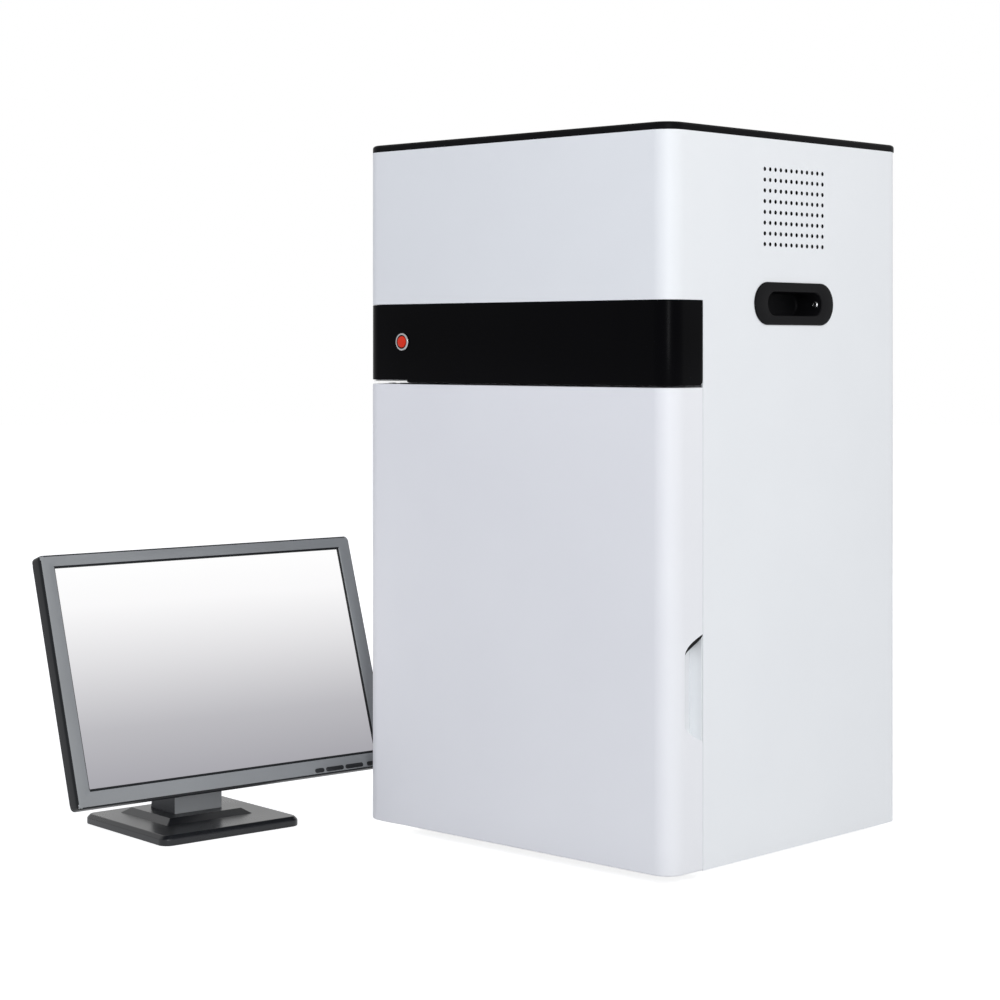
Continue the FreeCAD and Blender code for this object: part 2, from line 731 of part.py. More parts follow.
# Fan: a square frame behind the vents, with the rotor on its axle
fan_x = (inner_half - fan_depth, inner_half)
fan_centre = (vent_centre_y, vent_centre_z)
fan_frame = rounded_box(fan_x, span(fan_centre[0], fan_size), span(fan_centre[1], fan_size), 5.0, (1, 0, 0))
fan_frame = fan_frame.cut(rod((fan_x[0] - 1, *fan_centre), (1, 0, 0), fan_bore_radius, fan_depth + 2))
fan_frame = fan_frame.fuse(rod((fan_x[0], *fan_centre), (1, 0, 0), fan_hub_radius - 1, 3))
fan_frame = fan_frame.fuse(rod((fan_x[0], *fan_centre), (1, 0, 0), fan_axle_radius, fan_depth - 5))
for turn in range(3):
    strut = box((fan_x[0], fan_x[0] + 3), span(fan_centre[0], 4),
                (fan_centre[1], fan_centre[1] + fan_bore_radius + 1))
    strut.rotate(V(0, *fan_centre), V(1, 0, 0), 120 * turn)
    fan_frame = fan_frame.fuse(strut)
nodes["fan_frame"] = fan_frame
rotor_x = (fan_x[0] + 4, fan_x[1] - 3)
tip_radius = fan_bore_radius - fan_tip_gap
rotor = rod((rotor_x[0], *fan_centre), (1, 0, 0), fan_hub_radius, rotor_x[1] - rotor_x[0])
for blade in range(fan_blades):
    vane = box((rotor_x[0] + 1, rotor_x[1] - 1), span(fan_centre[0], 1.6),
               (fan_centre[1] + fan_hub_radius - 1, fan_centre[1] + tip_radius))
    vane.rotate(V((rotor_x[0] + rotor_x[1]) / 2, *fan_centre), V(0, 0, 1), 40)
    vane.rotate(V(0, *fan_centre), V(1, 0, 0), 360 * blade / fan_blades)
    rotor = rotor.fuse(vane)
rotor = rotor.common(rod((rotor_x[0], *fan_centre), (1, 0, 0), tip_radius, rotor_x[1] - rotor_x[0]))
nodes["fan_rotor"] = rotor.cut(rod((rotor_x[0] - 1, *fan_centre), (1, 0, 0), fan_axle_radius + run_gap,
                                   fan_depth - 5 - 4 + 1.5))

# Filter wheel: a disc of round filters that turns under the lens on the motor's shaft
wheel_z = deck_top + wheel_lift
wheel_top = wheel_z + wheel_thick
wheel_x = wheel_offset
wheel = rod((wheel_x, optic_y, wheel_z), (0, 0, 1), wheel_radius, wheel_thick)
wheel = wheel.fuse(rod((wheel_x, optic_y, wheel_top), (0, 0, 1), hub_radius, hub_height))
glasses = []
for index in range(filter_count):
    turn = math.pi + 2 * math.pi * index / filter_count
    x = wheel_x + wheel_offset * math.cos(turn)
    y = optic_y + wheel_offset * math.sin(turn)
    wheel = wheel.cut(rod((x, y, wheel_z - 1), (0, 0, 1), filter_radius - filter_ledge, wheel_thick + 2))
    wheel = wheel.cut(rod((x, y, wheel_top - filter_thick), (0, 0, 1), filter_radius, filter_thick + 1))
    if index:
        seat = (x, y, wheel_top - filter_thick)
        glasses.append(rod(seat, (0, 0, 1), filter_radius - 0.1, filter_thick - 0.2))
bridge_bottom = wheel_top + bridge_clear
bridge_top = bridge_bottom + bridge_thick
nodes["filter_wheel"] = wheel.cut(rod((wheel_x, optic_y, wheel_z - 1), (0, 0, 1), shaft_radius,
                                      wheel_thick + hub_height + 2))
nodes["filter_glasses"] = Part.makeCompound(glasses)
shaft_length = bridge_top + motor_length * 0.75 - wheel_z
nodes["filter_shaft"] = rod((wheel_x, optic_y, wheel_z), (0, 0, 1), shaft_radius, shaft_length)
motor = rounded_box(span(wheel_x, motor_size), span(optic_y, motor_size),
                    (bridge_top, bridge_top + motor_length), 4.0)
motor = motor.fuse(rod((wheel_x, optic_y, bridge_bottom + 1), (0, 0, 1), motor_boss_radius, bridge_thick))
nodes["filter_motor"] = motor.cut(rod((wheel_x, optic_y, 0), (0, 0, 1), shaft_radius + run_gap,
                                      wheel_z + shaft_length + 1))

# Bridge: the folded bracket over the wheel that carries the motor, lens and camera
bridge_x = (-wheel_offset - 8, wheel_x + wheel_radius + 8)
bridge_y = span(optic_y, 2 * (wheel_radius + bridge_margin))
bridge = box(bridge_x, bridge_y, (deck_top, bridge_top))
bridge = bridge.cut(box((bridge_x[0] - 1, bridge_x[1] + 1),
                        (bridge_y[0] + bridge_thick, bridge_y[1] - bridge_thick),
                        (deck_top - 1, bridge_bottom)))
bridge = bridge.cut(rod((0, optic_y, bridge_bottom - 1), (0, 0, 1), lens_radius + seat_gap, bridge_thick + 2))
bridge = bridge.cut(rod((wheel_x, optic_y, bridge_bottom - 1), (0, 0, 1), motor_boss_radius + run_gap,
                        bridge_thick + 2))

# Lens: a stepped barrel that looks down through the bridge, with a focus ring round it
lens_bottom = wheel_top + lens_wheel_gap
lens_top = lens_bottom + lens_length
lens = rod((0, optic_y, lens_bottom), (0, 0, 1), lens_radius, lens_length)
ring_bottom = lens_bottom + focus_ring_lift
lens_collar = rod((0, optic_y, ring_bottom - 4), (0, 0, 1), lens_radius + 3, 3.7)
lens = lens.fuse(lens_collar)
lens_bore = rod((0, optic_y, lens_bottom - 1), (0, 0, 1), lens_bore_radius, lens_length / 2)
nodes["lens_barrel"] = lens.cut(lens_bore)
ring_outer = rod((0, optic_y, ring_bottom), (0, 0, 1), lens_radius + focus_ring_thick, focus_ring_length)
nodes["focus_ring"] = ring_outer.cut(rod((0, optic_y, ring_bottom - 1), (0, 0, 1), lens_radius + run_gap,
                                         focus_ring_length + 2))

# Camera body and the bracket behind it
camera_z = (lens_top, lens_top + camera_height)
camera = rounded_box(span(0, camera_width), span(optic_y, camera_width), camera_z, camera_edge)
bracket_y = optic_y + camera_width / 2
camera_seats = []
for side in (-1, 1):
    for level in (0.25, 0.75):
        camera_seats.append((side * camera_width * 0.3, bracket_y + bracket_thick,
                             lens_top + camera_height * level))
bracket_seats = [(side * bracket_width * 0.3, bracket_y + bracket_foot * 0.6, bridge_top + bracket_thick)
                 for side in (-1, 1)]
camera_bores = Part.makeCompound([screw_hole(seat, (0, -1, 0)) for seat in camera_seats])
bracket_bores = Part.makeCompound([screw_hole(seat, (0, 0, -1)) for seat in bracket_seats])
bracket = box(span(0, bracket_width), (bracket_y, bracket_y + bracket_thick), (bridge_top, camera_z[1]))
bracket = bracket.fuse(box(span(0, bracket_width), (bracket_y, bracket_y + bracket_foot),
                           (bridge_top, bridge_top + bracket_thick)))
nodes["wheel_bridge"] = bridge.cut(bracket_bores)
nodes["camera_body"] = camera.cut(camera_bores)
nodes["camera_bracket"] = bracket.cut(camera_bores).cut(bracket_bores)

# Lamps above the sample: a bar under the deck on each side, with a slanted window
epi_outer = chamber_half_width - chamber_wall
epi_x = (epi_outer - epi_width, epi_outer)
epi_z = (deck_bottom - epi_height, deck_bottom)
epi_y = span(optic_y, epi_length)
lamp = prism([(epi_x[0], epi_y[0], epi_z[1]), (epi_x[1], epi_y[0], epi_z[1]), (epi_x[1], epi_y[0], epi_z[0]),
              (epi_x[0] + epi_chamfer, epi_y[0], epi_z[0]), (epi_x[0], epi_y[0], epi_z[0] + epi_chamfer)],
             (0, epi_length, 0))
skew = epi_window_thick / math.sqrt(2)
margin = 3.0
window = prism([(epi_x[0] + epi_chamfer - margin, epi_y[0] + margin, epi_z[0] + margin),
                (epi_x[0] + margin, epi_y[0] + margin, epi_z[0] + epi_chamfer - margin),
                (epi_x[0] + margin - skew, epi_y[0] + margin, epi_z[0] + epi_chamfer - margin - skew),
                (epi_x[0] + epi_chamfer - margin - skew, epi_y[0] + margin, epi_z[0] + margin - skew)],
               (0, epi_length - 2 * margin, 0))
nodes["epi_lamps"] = Part.makeCompound([lamp, mirrored(lamp)])
nodes["epi_windows"] = Part.makeCompound([window, mirrored(window)])

# UV table: a steel case on the chamber floor, its tubes and the filter glass on top
case_y = span(optic_y, case_length)
case_top = pan_top + case_height
case = rounded_box((-case_half_width, case_half_width), case_y, (pan_top, case_top), 6.0)
case_floor = pan_top + case_wall
case = case.cut(box((-case_half_width + case_wall, case_half_width - case_wall),
                    (case_y[0] + case_wall, case_y[1] - case_wall), (case_floor, case_top - case_top_thick)))
case = case.cut(box(span(0, table_opening_x), span(optic_y, table_opening_y), (case_floor, case_top + 1)))
glass_x = table_opening_x + 2 * uv_glass_ledge
glass_y = table_opening_y + 2 * uv_glass_ledge
case = case.cut(box(span(0, glass_x), span(optic_y, glass_y), (case_top - uv_glass_thick, case_top + 1)))
nodes["uv_case"] = case
nodes["uv_filter"] = box(span(0, glass_x - seat_gap), span(optic_y, glass_y - seat_gap),
                         (case_top - uv_glass_thick, case_top))
holder_x = (tube_length / 2, tube_length / 2 + holder_thick)
holder = box(holder_x, span(optic_y, tube_pitch * tube_count), (case_floor, case_floor + holder_height))
nodes["lamp_holders"] = Part.makeCompound([holder, mirrored(holder)])
tubes = []
for index in range(tube_count):
    y = optic_y + (index - (tube_count - 1) / 2) * tube_pitch
    tubes.append(rod((-tube_length / 2, y, pan_top + tube_height), (1, 0, 0), tube_radius, tube_length))
nodes["uv_tubes"] = Part.makeCompound(tubes)

# Converter plate: the loose white screen that lies on the UV table and lifts off
converter = rounded_box(span(0, converter_x), span(optic_y, converter_y),
                        (case_top, case_top + converter_thick), 5.0)
for side in (-1, 1):
    grip = rod((side * converter_x / 2, optic_y, 0), (0, 0, 1), converter_grip / 4, shell_top)
    converter = converter.cut(grip)
nodes["converter_plate"] = converter

# Power supply and control board on the deck
supply = rounded_box((supply_x, supply_x + supply_size[0]), (supply_y, supply_y + supply_size[1]),
                     (deck_top, deck_top + supply_size[2]), 2.0)
nodes["power_supply"] = supply
board_z = deck_top + board_stand
board_top = board_z + board_size[2]
board = box((board_x, board_x + board_size[0]), (board_y, board_y + board_size[1]), (board_z, board_top))
for x in (board_x + 6, board_x + board_size[0] - 6):
    for y in (board_y + 6, board_y + board_size[1] - 6):
        board = board.fuse(rod((x, y, deck_top), (0, 0, 1), 3, board_stand))
chips = [(20, 30, 24, 24, 3), (60, 34, 16, 30, 4), (24, 84, 40, 14, 9), (74, 100, 14, 34, 12)]
for x, y, length, width, height in chips:
    board = board.fuse(box((board_x + x, board_x + x + length), (board_y + y, board_y + y + width),
                           (board_z, board_top + height)))
nodes["control_board"] = board

# Mains inlet with its rocker, and the data ports, in the rear panel
inlet = rounded_box(span(inlet_x, inlet_length), (rear, rear + inlet_plate_thick),
                    span(inlet_z, inlet_height), 3.0, (0, 1, 0))
inlet = inlet.fuse(box(span(inlet_x, inlet_length - 6 - seat_gap), (rear - inlet_depth, rear),
                       span(inlet_z, inlet_height - 6 - seat_gap)))
socket_x = inlet_x + 10.0
rocker_x = inlet_x - 20.0
inlet_face = rear + inlet_plate_thick
inlet = inlet.cut(rounded_box(span(socket_x, socket_length), (inlet_face - socket_depth, inlet_face + 1),
                              span(inlet_z, socket_height), 3.0, (0, 1, 0)))
for offset in (-7, 0, 7):
    pin = box(span(socket_x + offset, 2), (inlet_face - socket_depth, inlet_face - 3), span(inlet_z, 5))
    inlet = inlet.fuse(pin)
rocker_y = inlet_face - rocker_sink
inlet = inlet.cut(rod((rocker_x - rocker_width / 2 - seat_gap, rocker_y, inlet_z), (1, 0, 0),
                      rocker_radius + seat_gap, rocker_width + 2 * seat_gap))
nodes["mains_inlet"] = inlet
rocker = rod((rocker_x - rocker_width / 2, rocker_y, inlet_z), (1, 0, 0), rocker_radius, rocker_width)
for side in (-1, 1):
    cutter = box((rocker_x - rocker_width, rocker_x + rocker_width), (inlet_face - 1.5, inlet_face + 20),
                 (inlet_z - rocker_cut_size, inlet_z + rocker_cut_size))
    cutter.rotate(V(rocker_x, inlet_face - 1.5, inlet_z), V(1, 0, 0), side * rocker_tilt)
    half = box((rocker_x - rocker_width, rocker_x + rocker_width),
               (rocker_y - rocker_cut_size, rear + rocker_cut_size),
               (inlet_z, inlet_z + rocker_cut_size) if side < 0 else (inlet_z - rocker_cut_size, inlet_z))
    rocker = rocker.cut(cutter.common(half))
rocker.rotate(V(rocker_x, rocker_y, inlet_z), V(1, 0, 0), rocker_tilt)
nodes["power_switch"] = rocker
ports_face = rear + ports_plate_thick
ports = rounded_box(span(ports_x, ports_length), (rear, ports_face), span(ports_z, ports_height),
                    2.0, (0, 1, 0))
ports = ports.fuse(box(span(ports_x, ports_length - 6 - seat_gap), (rear - inlet_depth / 2, rear),
                       span(ports_z, ports_height - 6 - seat_gap)))
for x, width, height in ((ports_x - 15, 14, 12), (ports_x + 4, 12, 11), (ports_x + 19, 12, 7)):
    ports = ports.cut(box(span(x, width), (ports_face - port_depth, ports_face + 1), span(ports_z, height)))
nodes["data_ports"] = ports

# Screws: one kind of pan-head screw holds the panel, feet, hinge plate and camera
screws = [pan_screw(seat, (0, -1, 0)) for seat in rear_seats]
screws += [pan_screw(seat, (0, 0, 1)) for seat in foot_seats + hinge_seats]
screws += [pan_screw(seat, (0, -1, 0)) for seat in camera_seats]
screws += [pan_screw(seat, (0, 0, -1)) for seat in bracket_seats]
nodes["panel_screws"] = Part.makeCompound(screws)

# Display head, drawn upright in its own frame: the screen faces -Y and the pivot is behind
panel_rear = knuckle_radius + knuckle_gap
bezel_rear = panel_rear + cover_depth
panel_front = bezel_rear + bezel_depth
low_reach = panel_height / 2 + 10.0
tilt = math.radians(display_rest_tilt)
pivot_y = 28.0
pivot_z = panel_bottom_clear + low_reach * math.cos(tilt) - bezel_rear * math.sin(tilt)
head_z = (pivot_z - low_reach, pivot_z - low_reach + panel_height)
face_y = pivot_y - panel_front
back_y = pivot_y - bezel_rear
head_x = (-panel_width / 2, panel_width / 2)

bezel = rounded_box(head_x, (face_y, back_y), head_z, panel_corner, (0, 1, 0))
view_x = (head_x[0] + bezel_side, head_x[1] - bezel_side)
view_z = (head_z[0] + bezel_bottom, head_z[1] - bezel_top)
bezel = bezel.cut(box(view_x, (face_y - 1, back_y + 1), view_z))
pocket_x = (view_x[0] - screen_overlap, view_x[1] + screen_overlap)
pocket_z = (view_z[0] - screen_overlap, view_z[1] + screen_overlap)
bezel = bezel.cut(box(pocket_x, (face_y + bezel_lip, back_y + 1), pocket_z))
key_z = head_z[0] + key_above_foot
key_places = [("display_power_key", head_x[1] - power_key_from_right, power_key_length)]
right_end = head_x[1] - first_menu_key_from_right + menu_key_lengths[0] / 2
for index, length in enumerate(menu_key_lengths):
    key_places.append((f"menu_key_{3 - index}", right_end - length / 2, length))
    right_end -= length + menu_key_spacing
for name, x, length in key_places:
    hole = rounded_box(span(x, length + 2 * key_gap), (face_y - 1, back_y + 1),
                       span(key_z, key_height + 2 * key_gap), key_height / 2 + key_gap - 0.02, (0, 1, 0))
    bezel = bezel.cut(hole)
    key_y = (face_y - key_proud, face_y - key_proud + key_body)
    key = rounded_box(span(x, length), key_y, span(key_z, key_height), key_height / 2 - 0.02, (0, 1, 0))
    nodes[name] = display_place(key, True)
nodes["display_bezel"] = display_place(bezel, True)
screen = box((pocket_x[0] + seat_gap, pocket_x[1] - seat_gap),
             (face_y + bezel_lip, face_y + bezel_lip + screen_thick),
             (pocket_z[0] + seat_gap, pocket_z[1] - seat_gap))
nodes["display_screen"] = display_place(screen, True)

# Rear cover: a tapered tub with two ears that hold the tilt pin
cover_back_y = pivot_y - panel_rear


def cover_outline(y, margin):
    """The head's rectangle, drawn in by a margin, at a place along Y."""
    low_x, high_x = head_x[0] + margin, head_x[1] - margin
    low_z, high_z = head_z[0] + margin, head_z[1] - margin
    return [(low_x, y, low_z), (high_x, y, low_z), (high_x, y, high_z), (low_x, y, high_z)]


cover_front = cover_outline(back_y, cover_step)
cover_back = cover_outline(cover_back_y, cover_taper)
cover = loft(cover_front, cover_back)
cover = cover.cut(loft(inset(cover_front, cover_wall, -0.01), inset(cover_back, cover_wall, -cover_wall)))
ear_x = neck_width / 2 + seat_gap
for side in (-1, 1):
    low_x, high_x = sorted((side * ear_x, side * (ear_x + ear_thick)))
    ear = box((low_x, high_x), (cover_back_y - 4, pivot_y), span(pivot_z, 2 * knuckle_radius))
    ear = ear.fuse(rod((low_x, pivot_y, pivot_z), (1, 0, 0), knuckle_radius, ear_thick))
    cover = cover.fuse(ear)
pin_span = ear_x + ear_thick - 2
cover = cover.cut(rod((-pin_span, pivot_y, pivot_z), (1, 0, 0), tilt_pin_radius + run_gap, 2 * pin_span))
nodes["display_cover"] = display_place(cover, True)

# Neck: a column from the base to the knuckle, with the tilt pin through it
pad_top = base_thick + pad_height
neck_front = pivot_y - knuckle_radius
neck_low = rectangle(span(0, neck_width), (neck_front, neck_front + neck_depth), pad_top)
neck_high = rectangle(span(0, neck_width), (neck_front, neck_front + 2 * knuckle_radius), pivot_z)
neck = loft(neck_low, neck_high)
neck = neck.fuse(rod((-neck_width / 2, pivot_y, pivot_z), (1, 0, 0), knuckle_radius, neck_width))
neck = neck.fuse(rod((-pin_span + 0.5, pivot_y, pivot_z), (1, 0, 0), tilt_pin_radius, 2 * pin_span - 1))
nodes["display_neck"] = display_place(neck)

# Base: a thin plate with bevelled edges and a raised pad under the neck
base_y = span(pivot_y, base_length)
base = rounded_box(span(0, base_width), base_y, (0, base_thick), base_corner)
upper_rim = [e for e in base.Edges if abs(e.BoundBox.ZMin - base_thick) < 1e-6]
base = base.makeChamfer(base_bevel, upper_rim)
pad_y = span(neck_front + neck_depth / 2, pad_length)
pad_slope = 1.5 * pad_height
pad_top_y = (pad_y[0] + pad_slope, pad_y[1] - pad_slope)
pad = loft(rectangle(span(0, pad_width), pad_y, base_thick),
           rectangle(span(0, pad_width - 2 * pad_slope), pad_top_y, pad_top))
nodes["display_base"] = display_place(base.fuse(pad))

os.makedirs("parts", exist_ok=True)
for name, shape in nodes.items():
    shape.exportStep(f"parts/{name}.step")
    solids = shape.Solids
    print(name, len(solids), "valid" if shape.isValid() else "NOT VALID", round(shape.Volume / 1000, 1))
print(len(nodes), "nodes")
print("tilt pivot", round(pivot_y, 3), round(pivot_z, 3))
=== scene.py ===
import json
import math

import bmesh
import bpy
import numpy as np
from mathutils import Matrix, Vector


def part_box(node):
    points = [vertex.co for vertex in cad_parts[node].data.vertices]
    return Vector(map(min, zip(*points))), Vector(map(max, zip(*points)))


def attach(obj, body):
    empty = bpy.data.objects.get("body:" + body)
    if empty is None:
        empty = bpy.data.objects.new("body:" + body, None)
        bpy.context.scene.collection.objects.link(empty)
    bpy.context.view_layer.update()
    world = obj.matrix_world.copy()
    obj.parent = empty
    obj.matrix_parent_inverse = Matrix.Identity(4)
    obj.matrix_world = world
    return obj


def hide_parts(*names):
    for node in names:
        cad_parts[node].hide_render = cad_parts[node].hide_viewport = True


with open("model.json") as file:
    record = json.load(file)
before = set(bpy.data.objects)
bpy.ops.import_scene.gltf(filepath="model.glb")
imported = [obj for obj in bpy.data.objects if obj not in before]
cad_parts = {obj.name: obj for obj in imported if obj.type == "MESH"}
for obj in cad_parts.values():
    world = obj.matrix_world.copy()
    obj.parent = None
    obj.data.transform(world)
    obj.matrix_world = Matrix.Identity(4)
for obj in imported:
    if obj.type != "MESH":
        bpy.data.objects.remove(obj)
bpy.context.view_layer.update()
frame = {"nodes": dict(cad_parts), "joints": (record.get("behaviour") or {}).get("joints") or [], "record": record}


# Bench and studio: a pale sheet runs back under a white sky, and soft lamps stand above the front, to the
# right and behind, so that the side with the vents is the brightest one. The camera is level, and its lens
# is shifted down as for a picture of a building.
bench_radius = 14.0
sky_light = (0.90, 0.92, 1.0)
sky_level = 0.42
paper_tone = 0.60
paper_lift = 0.80
lamp_target = np.array((0.0, 0.0, 0.4))
scene = bpy.context.scene
scene.view_settings.view_transform = "Standard"

camera_data = bpy.data.cameras.new("camera")
camera_data.lens = 83.885
camera_data.sensor_width = 36.0
camera_data.shift_y = -0.1514
camera = bpy.data.objects.new("camera", camera_data)
camera.location = (1.6843, -1.9940, 0.5356)
camera.rotation_euler = (math.radians(90), 0.0, math.radians(43.45))
scene.collection.objects.link(camera)
scene.camera = camera


def seen_directly(tree):
    """A value of 1 for rays from the camera, a mirror or a glass, and 0 for rays that carry light."""
    path = tree.nodes.new("ShaderNodeLightPath")
    nearer = tree.nodes.new("ShaderNodeMath")
    nearer.operation = "MAXIMUM"
    tree.links.new(path.outputs["Is Camera Ray"], nearer.inputs[0])
    tree.links.new(path.outputs["Is Glossy Ray"], nearer.inputs[1])
    both = tree.nodes.new("ShaderNodeMath")
    both.operation = "MAXIMUM"
    tree.links.new(nearer.outputs[0], both.inputs[0])
    tree.links.new(path.outputs["Is Transmission Ray"], both.inputs[1])
    return both.outputs[0]


world = bpy.data.worlds.new("white_sky")
world.use_nodes = True
scene.world = world
sky = world.node_tree
sky.nodes.clear()
dim = sky.nodes.new("ShaderNodeBackground")
dim.inputs["Color"].default_value = (*sky_light, 1.0)
dim.inputs["Strength"].default_value = sky_level
plain = sky.nodes.new("ShaderNodeBackground")
plain.inputs["Color"].default_value = (1.0, 1.0, 1.0, 1.0)
choose = sky.nodes.new("ShaderNodeMixShader")
sky.links.new(seen_directly(sky), choose.inputs["Fac"])
sky.links.new(dim.outputs[0], choose.inputs[1])
sky.links.new(plain.outputs[0], choose.inputs[2])
output = sky.nodes.new("ShaderNodeOutputWorld")
sky.links.new(choose.outputs[0], output.inputs["Surface"])


def hang_lamp(name, place, power, colour):
    """A flat lamp at a place, aimed at the middle of the cabinet."""
    lamp_data = bpy.data.lights.new(name, "AREA")
    lamp_data.energy = power
    lamp_data.color = colour
    lamp = bpy.data.objects.new(name, lamp_data)
    aim = np.array(place) - lamp_target
    lamp.location = place
    lamp.rotation_euler = (math.acos(aim[2] / np.linalg.norm(aim)), 0.0, math.atan2(aim[0], -aim[1]))
    scene.collection.objects.link(lamp)
    return lamp


right_lamp = hang_lamp("right_lamp", (3.4, 0.3, 2.4), 38.0, (1.0, 0.99, 0.96))
front_lamp = hang_lamp("front_lamp", (-0.6, -2.8, 2.2), 21.0, (0.88, 0.90, 1.0))
back_lamp = hang_lamp("back_lamp", (-1.9, 2.8, 2.0), 32.0, (0.95, 0.97, 1.0))
for broad in (right_lamp, front_lamp, back_lamp):
    broad.data.shape = "DISK"
    broad.data.size = 1.8
    broad.visible_glossy = False
near_lamp = hang_lamp("near_lamp", (2.6, -2.2, 1.25), 40.0, (0.96, 0.99, 1.0))
near_lamp.data.shape = "RECTANGLE"
near_lamp.data.size = 0.5
near_lamp.data.size_y = 2.2

turn = np.linspace(0.0, 2.0 * math.pi, 64, endpoint=False)
bench_rim = np.stack([bench_radius * np.cos(turn), bench_radius * np.sin(turn), 0.0 * turn], axis=-1)
bench_mesh = bpy.data.meshes.new("bench")
bench_mesh.from_pydata(bench_rim.tolist(), [], [list(range(len(turn)))])
bench = bpy.data.objects.new("bench", bench_mesh)
scene.collection.objects.link(bench)
bench_paper = bpy.data.materials.new("bench_paper")
bench_paper.use_nodes = True
paper = bench_paper.node_tree
paper_shader = paper.nodes["Principled BSDF"]
paper_shader.inputs["Base Color"].default_value = (paper_tone, paper_tone, paper_tone, 1.0)
paper_shader.inputs["Roughness"].default_value = 0.9
paper_shader.inputs["Specular IOR Level"].default_value = 0.0
paper_shader.inputs["Emission Color"].default_value = (1.0, 1.0, 1.0, 1.0)
lift = paper.nodes.new("ShaderNodeMath")
lift.operation = "MULTIPLY"
lift.inputs[1].default_value = paper_lift
paper.links.new(seen_directly(paper), lift.inputs[0])
paper.links.new(lift.outputs[0], paper_shader.inputs["Emission Strength"])
bench_mesh.materials.append(bench_paper)


# Cabinet shell: one folded steel sheet with round front corners, punched with vents on both sides and
# powder coated white. It keeps the CAD shape, merged, with its cut edges just broken.
def group_socket(tree, label, kind, way, value=None):
    """Adds one named input or output to a shader node group."""
    socket = tree.interface.new_socket(name=label, in_out=way, socket_type=kind)
    if value is not None:
        socket.default_value = value


grain = bpy.data.node_groups.new("fine_grain", "ShaderNodeTree")
group_socket(grain, "Deep", "NodeSocketColor", "INPUT", (0.5, 0.5, 0.5, 1.0))
group_socket(grain, "Pale", "NodeSocketColor", "INPUT", (0.6, 0.6, 0.6, 1.0))
group_socket(grain, "Smoothest", "NodeSocketFloat", "INPUT", 0.35)
group_socket(grain, "Roughest", "NodeSocketFloat", "INPUT", 0.45)
group_socket(grain, "Grain Scale", "NodeSocketFloat", "INPUT", 900.0)
group_socket(grain, "Cloud Scale", "NodeSocketFloat", "INPUT", 7.0)
group_socket(grain, "Stretch", "NodeSocketVector", "INPUT", (1.0, 1.0, 1.0))
group_socket(grain, "Color", "NodeSocketColor", "OUTPUT")
group_socket(grain, "Roughness", "NodeSocketFloat", "OUTPUT")
group_socket(grain, "Height", "NodeSocketFloat", "OUTPUT")
given = grain.nodes.new("NodeGroupInput")
result = grain.nodes.new("NodeGroupOutput")
where = grain.nodes.new("ShaderNodeTexCoord")
pull = grain.nodes.new("ShaderNodeVectorMath")
pull.operation = "MULTIPLY"
fine = grain.nodes.new("ShaderNodeTexNoise")
fine.inputs["Detail"].default_value = 3.0
fine.inputs["Roughness"].default_value = 0.6
cloud = grain.nodes.new("ShaderNodeTexNoise")
cloud.inputs["Detail"].default_value = 2.0
share = grain.nodes.new("ShaderNodeMapRange")
share.inputs["From Min"].default_value = 0.3
share.inputs["From Max"].default_value = 0.7
tint = grain.nodes.new("ShaderNodeMix")
tint.data_type = "RGBA"
gloss = grain.nodes.new("ShaderNodeMix")
blend = grain.nodes.new("ShaderNodeMix")
blend.inputs["Factor"].default_value = 0.35
grain.links.new(where.outputs["Object"], pull.inputs[0])
grain.links.new(given.outputs["Stretch"], pull.inputs[1])
grain.links.new(pull.outputs[0], fine.inputs["Vector"])
grain.links.new(given.outputs["Grain Scale"], fine.inputs["Scale"])
grain.links.new(where.outputs["Object"], cloud.inputs["Vector"])
grain.links.new(given.outputs["Cloud Scale"], cloud.inputs["Scale"])
grain.links.new(cloud.outputs["Fac"], blend.inputs["A"])
grain.links.new(fine.outputs["Fac"], blend.inputs["B"])
grain.links.new(blend.outputs["Result"], share.inputs["Value"])
grain.links.new(share.outputs["Result"], tint.inputs["Factor"])
grain.links.new(given.outputs["Deep"], tint.inputs["A"])
grain.links.new(given.outputs["Pale"], tint.inputs["B"])
grain.links.new(share.outputs["Result"], gloss.inputs["Factor"])
grain.links.new(given.outputs["Smoothest"], gloss.inputs["A"])
grain.links.new(given.outputs["Roughest"], gloss.inputs["B"])
grain.links.new(tint.outputs["Result"], result.inputs["Color"])
grain.links.new(gloss.outputs["Result"], result.inputs["Roughness"])
grain.links.new(fine.outputs["Fac"], result.inputs["Height"])


def surface(name, deep, pale, rough, grain_mm=1.1, bump_mm=0.02, cloud_mm=140.0, stretch=(1.0, 1.0, 1.0),
            **sockets):
    """A material whose colour and gloss drift a little between two values, over a fine relief. The grain
    and cloud sizes are in millimetres, and the other sockets are set on the shader by their names."""
    material = bpy.data.materials.new(name)
    material.use_nodes = True
    tree = material.node_tree
    shader = tree.nodes["Principled BSDF"]
    for label, value in sockets.items():
        shader.inputs[label.replace("_", " ")].default_value = value
    texture = tree.nodes.new("ShaderNodeGroup")
    texture.node_tree = grain
    texture.inputs["Deep"].default_value = (*deep, 1.0)
    texture.inputs["Pale"].default_value = (*pale, 1.0)
    texture.inputs["Smoothest"].default_value = rough[0]
    texture.inputs["Roughest"].default_value = rough[1]
    texture.inputs["Grain Scale"].default_value = 1000.0 / grain_mm
    texture.inputs["Cloud Scale"].default_value = 1000.0 / cloud_mm
    texture.inputs["Stretch"].default_value = stretch
    relief = tree.nodes.new("ShaderNodeBump")
    relief.inputs["Strength"].default_value = 0.6
    relief.inputs["Distance"].default_value = bump_mm / 1000.0
    tree.links.new(texture.outputs["Color"], shader.inputs["Base Color"])
    tree.links.new(texture.outputs["Roughness"], shader.inputs["Roughness"])
    tree.links.new(texture.outputs["Height"], relief.inputs["Height"])
    tree.links.new(relief.outputs["Normal"], shader.inputs["Normal"])
    return material


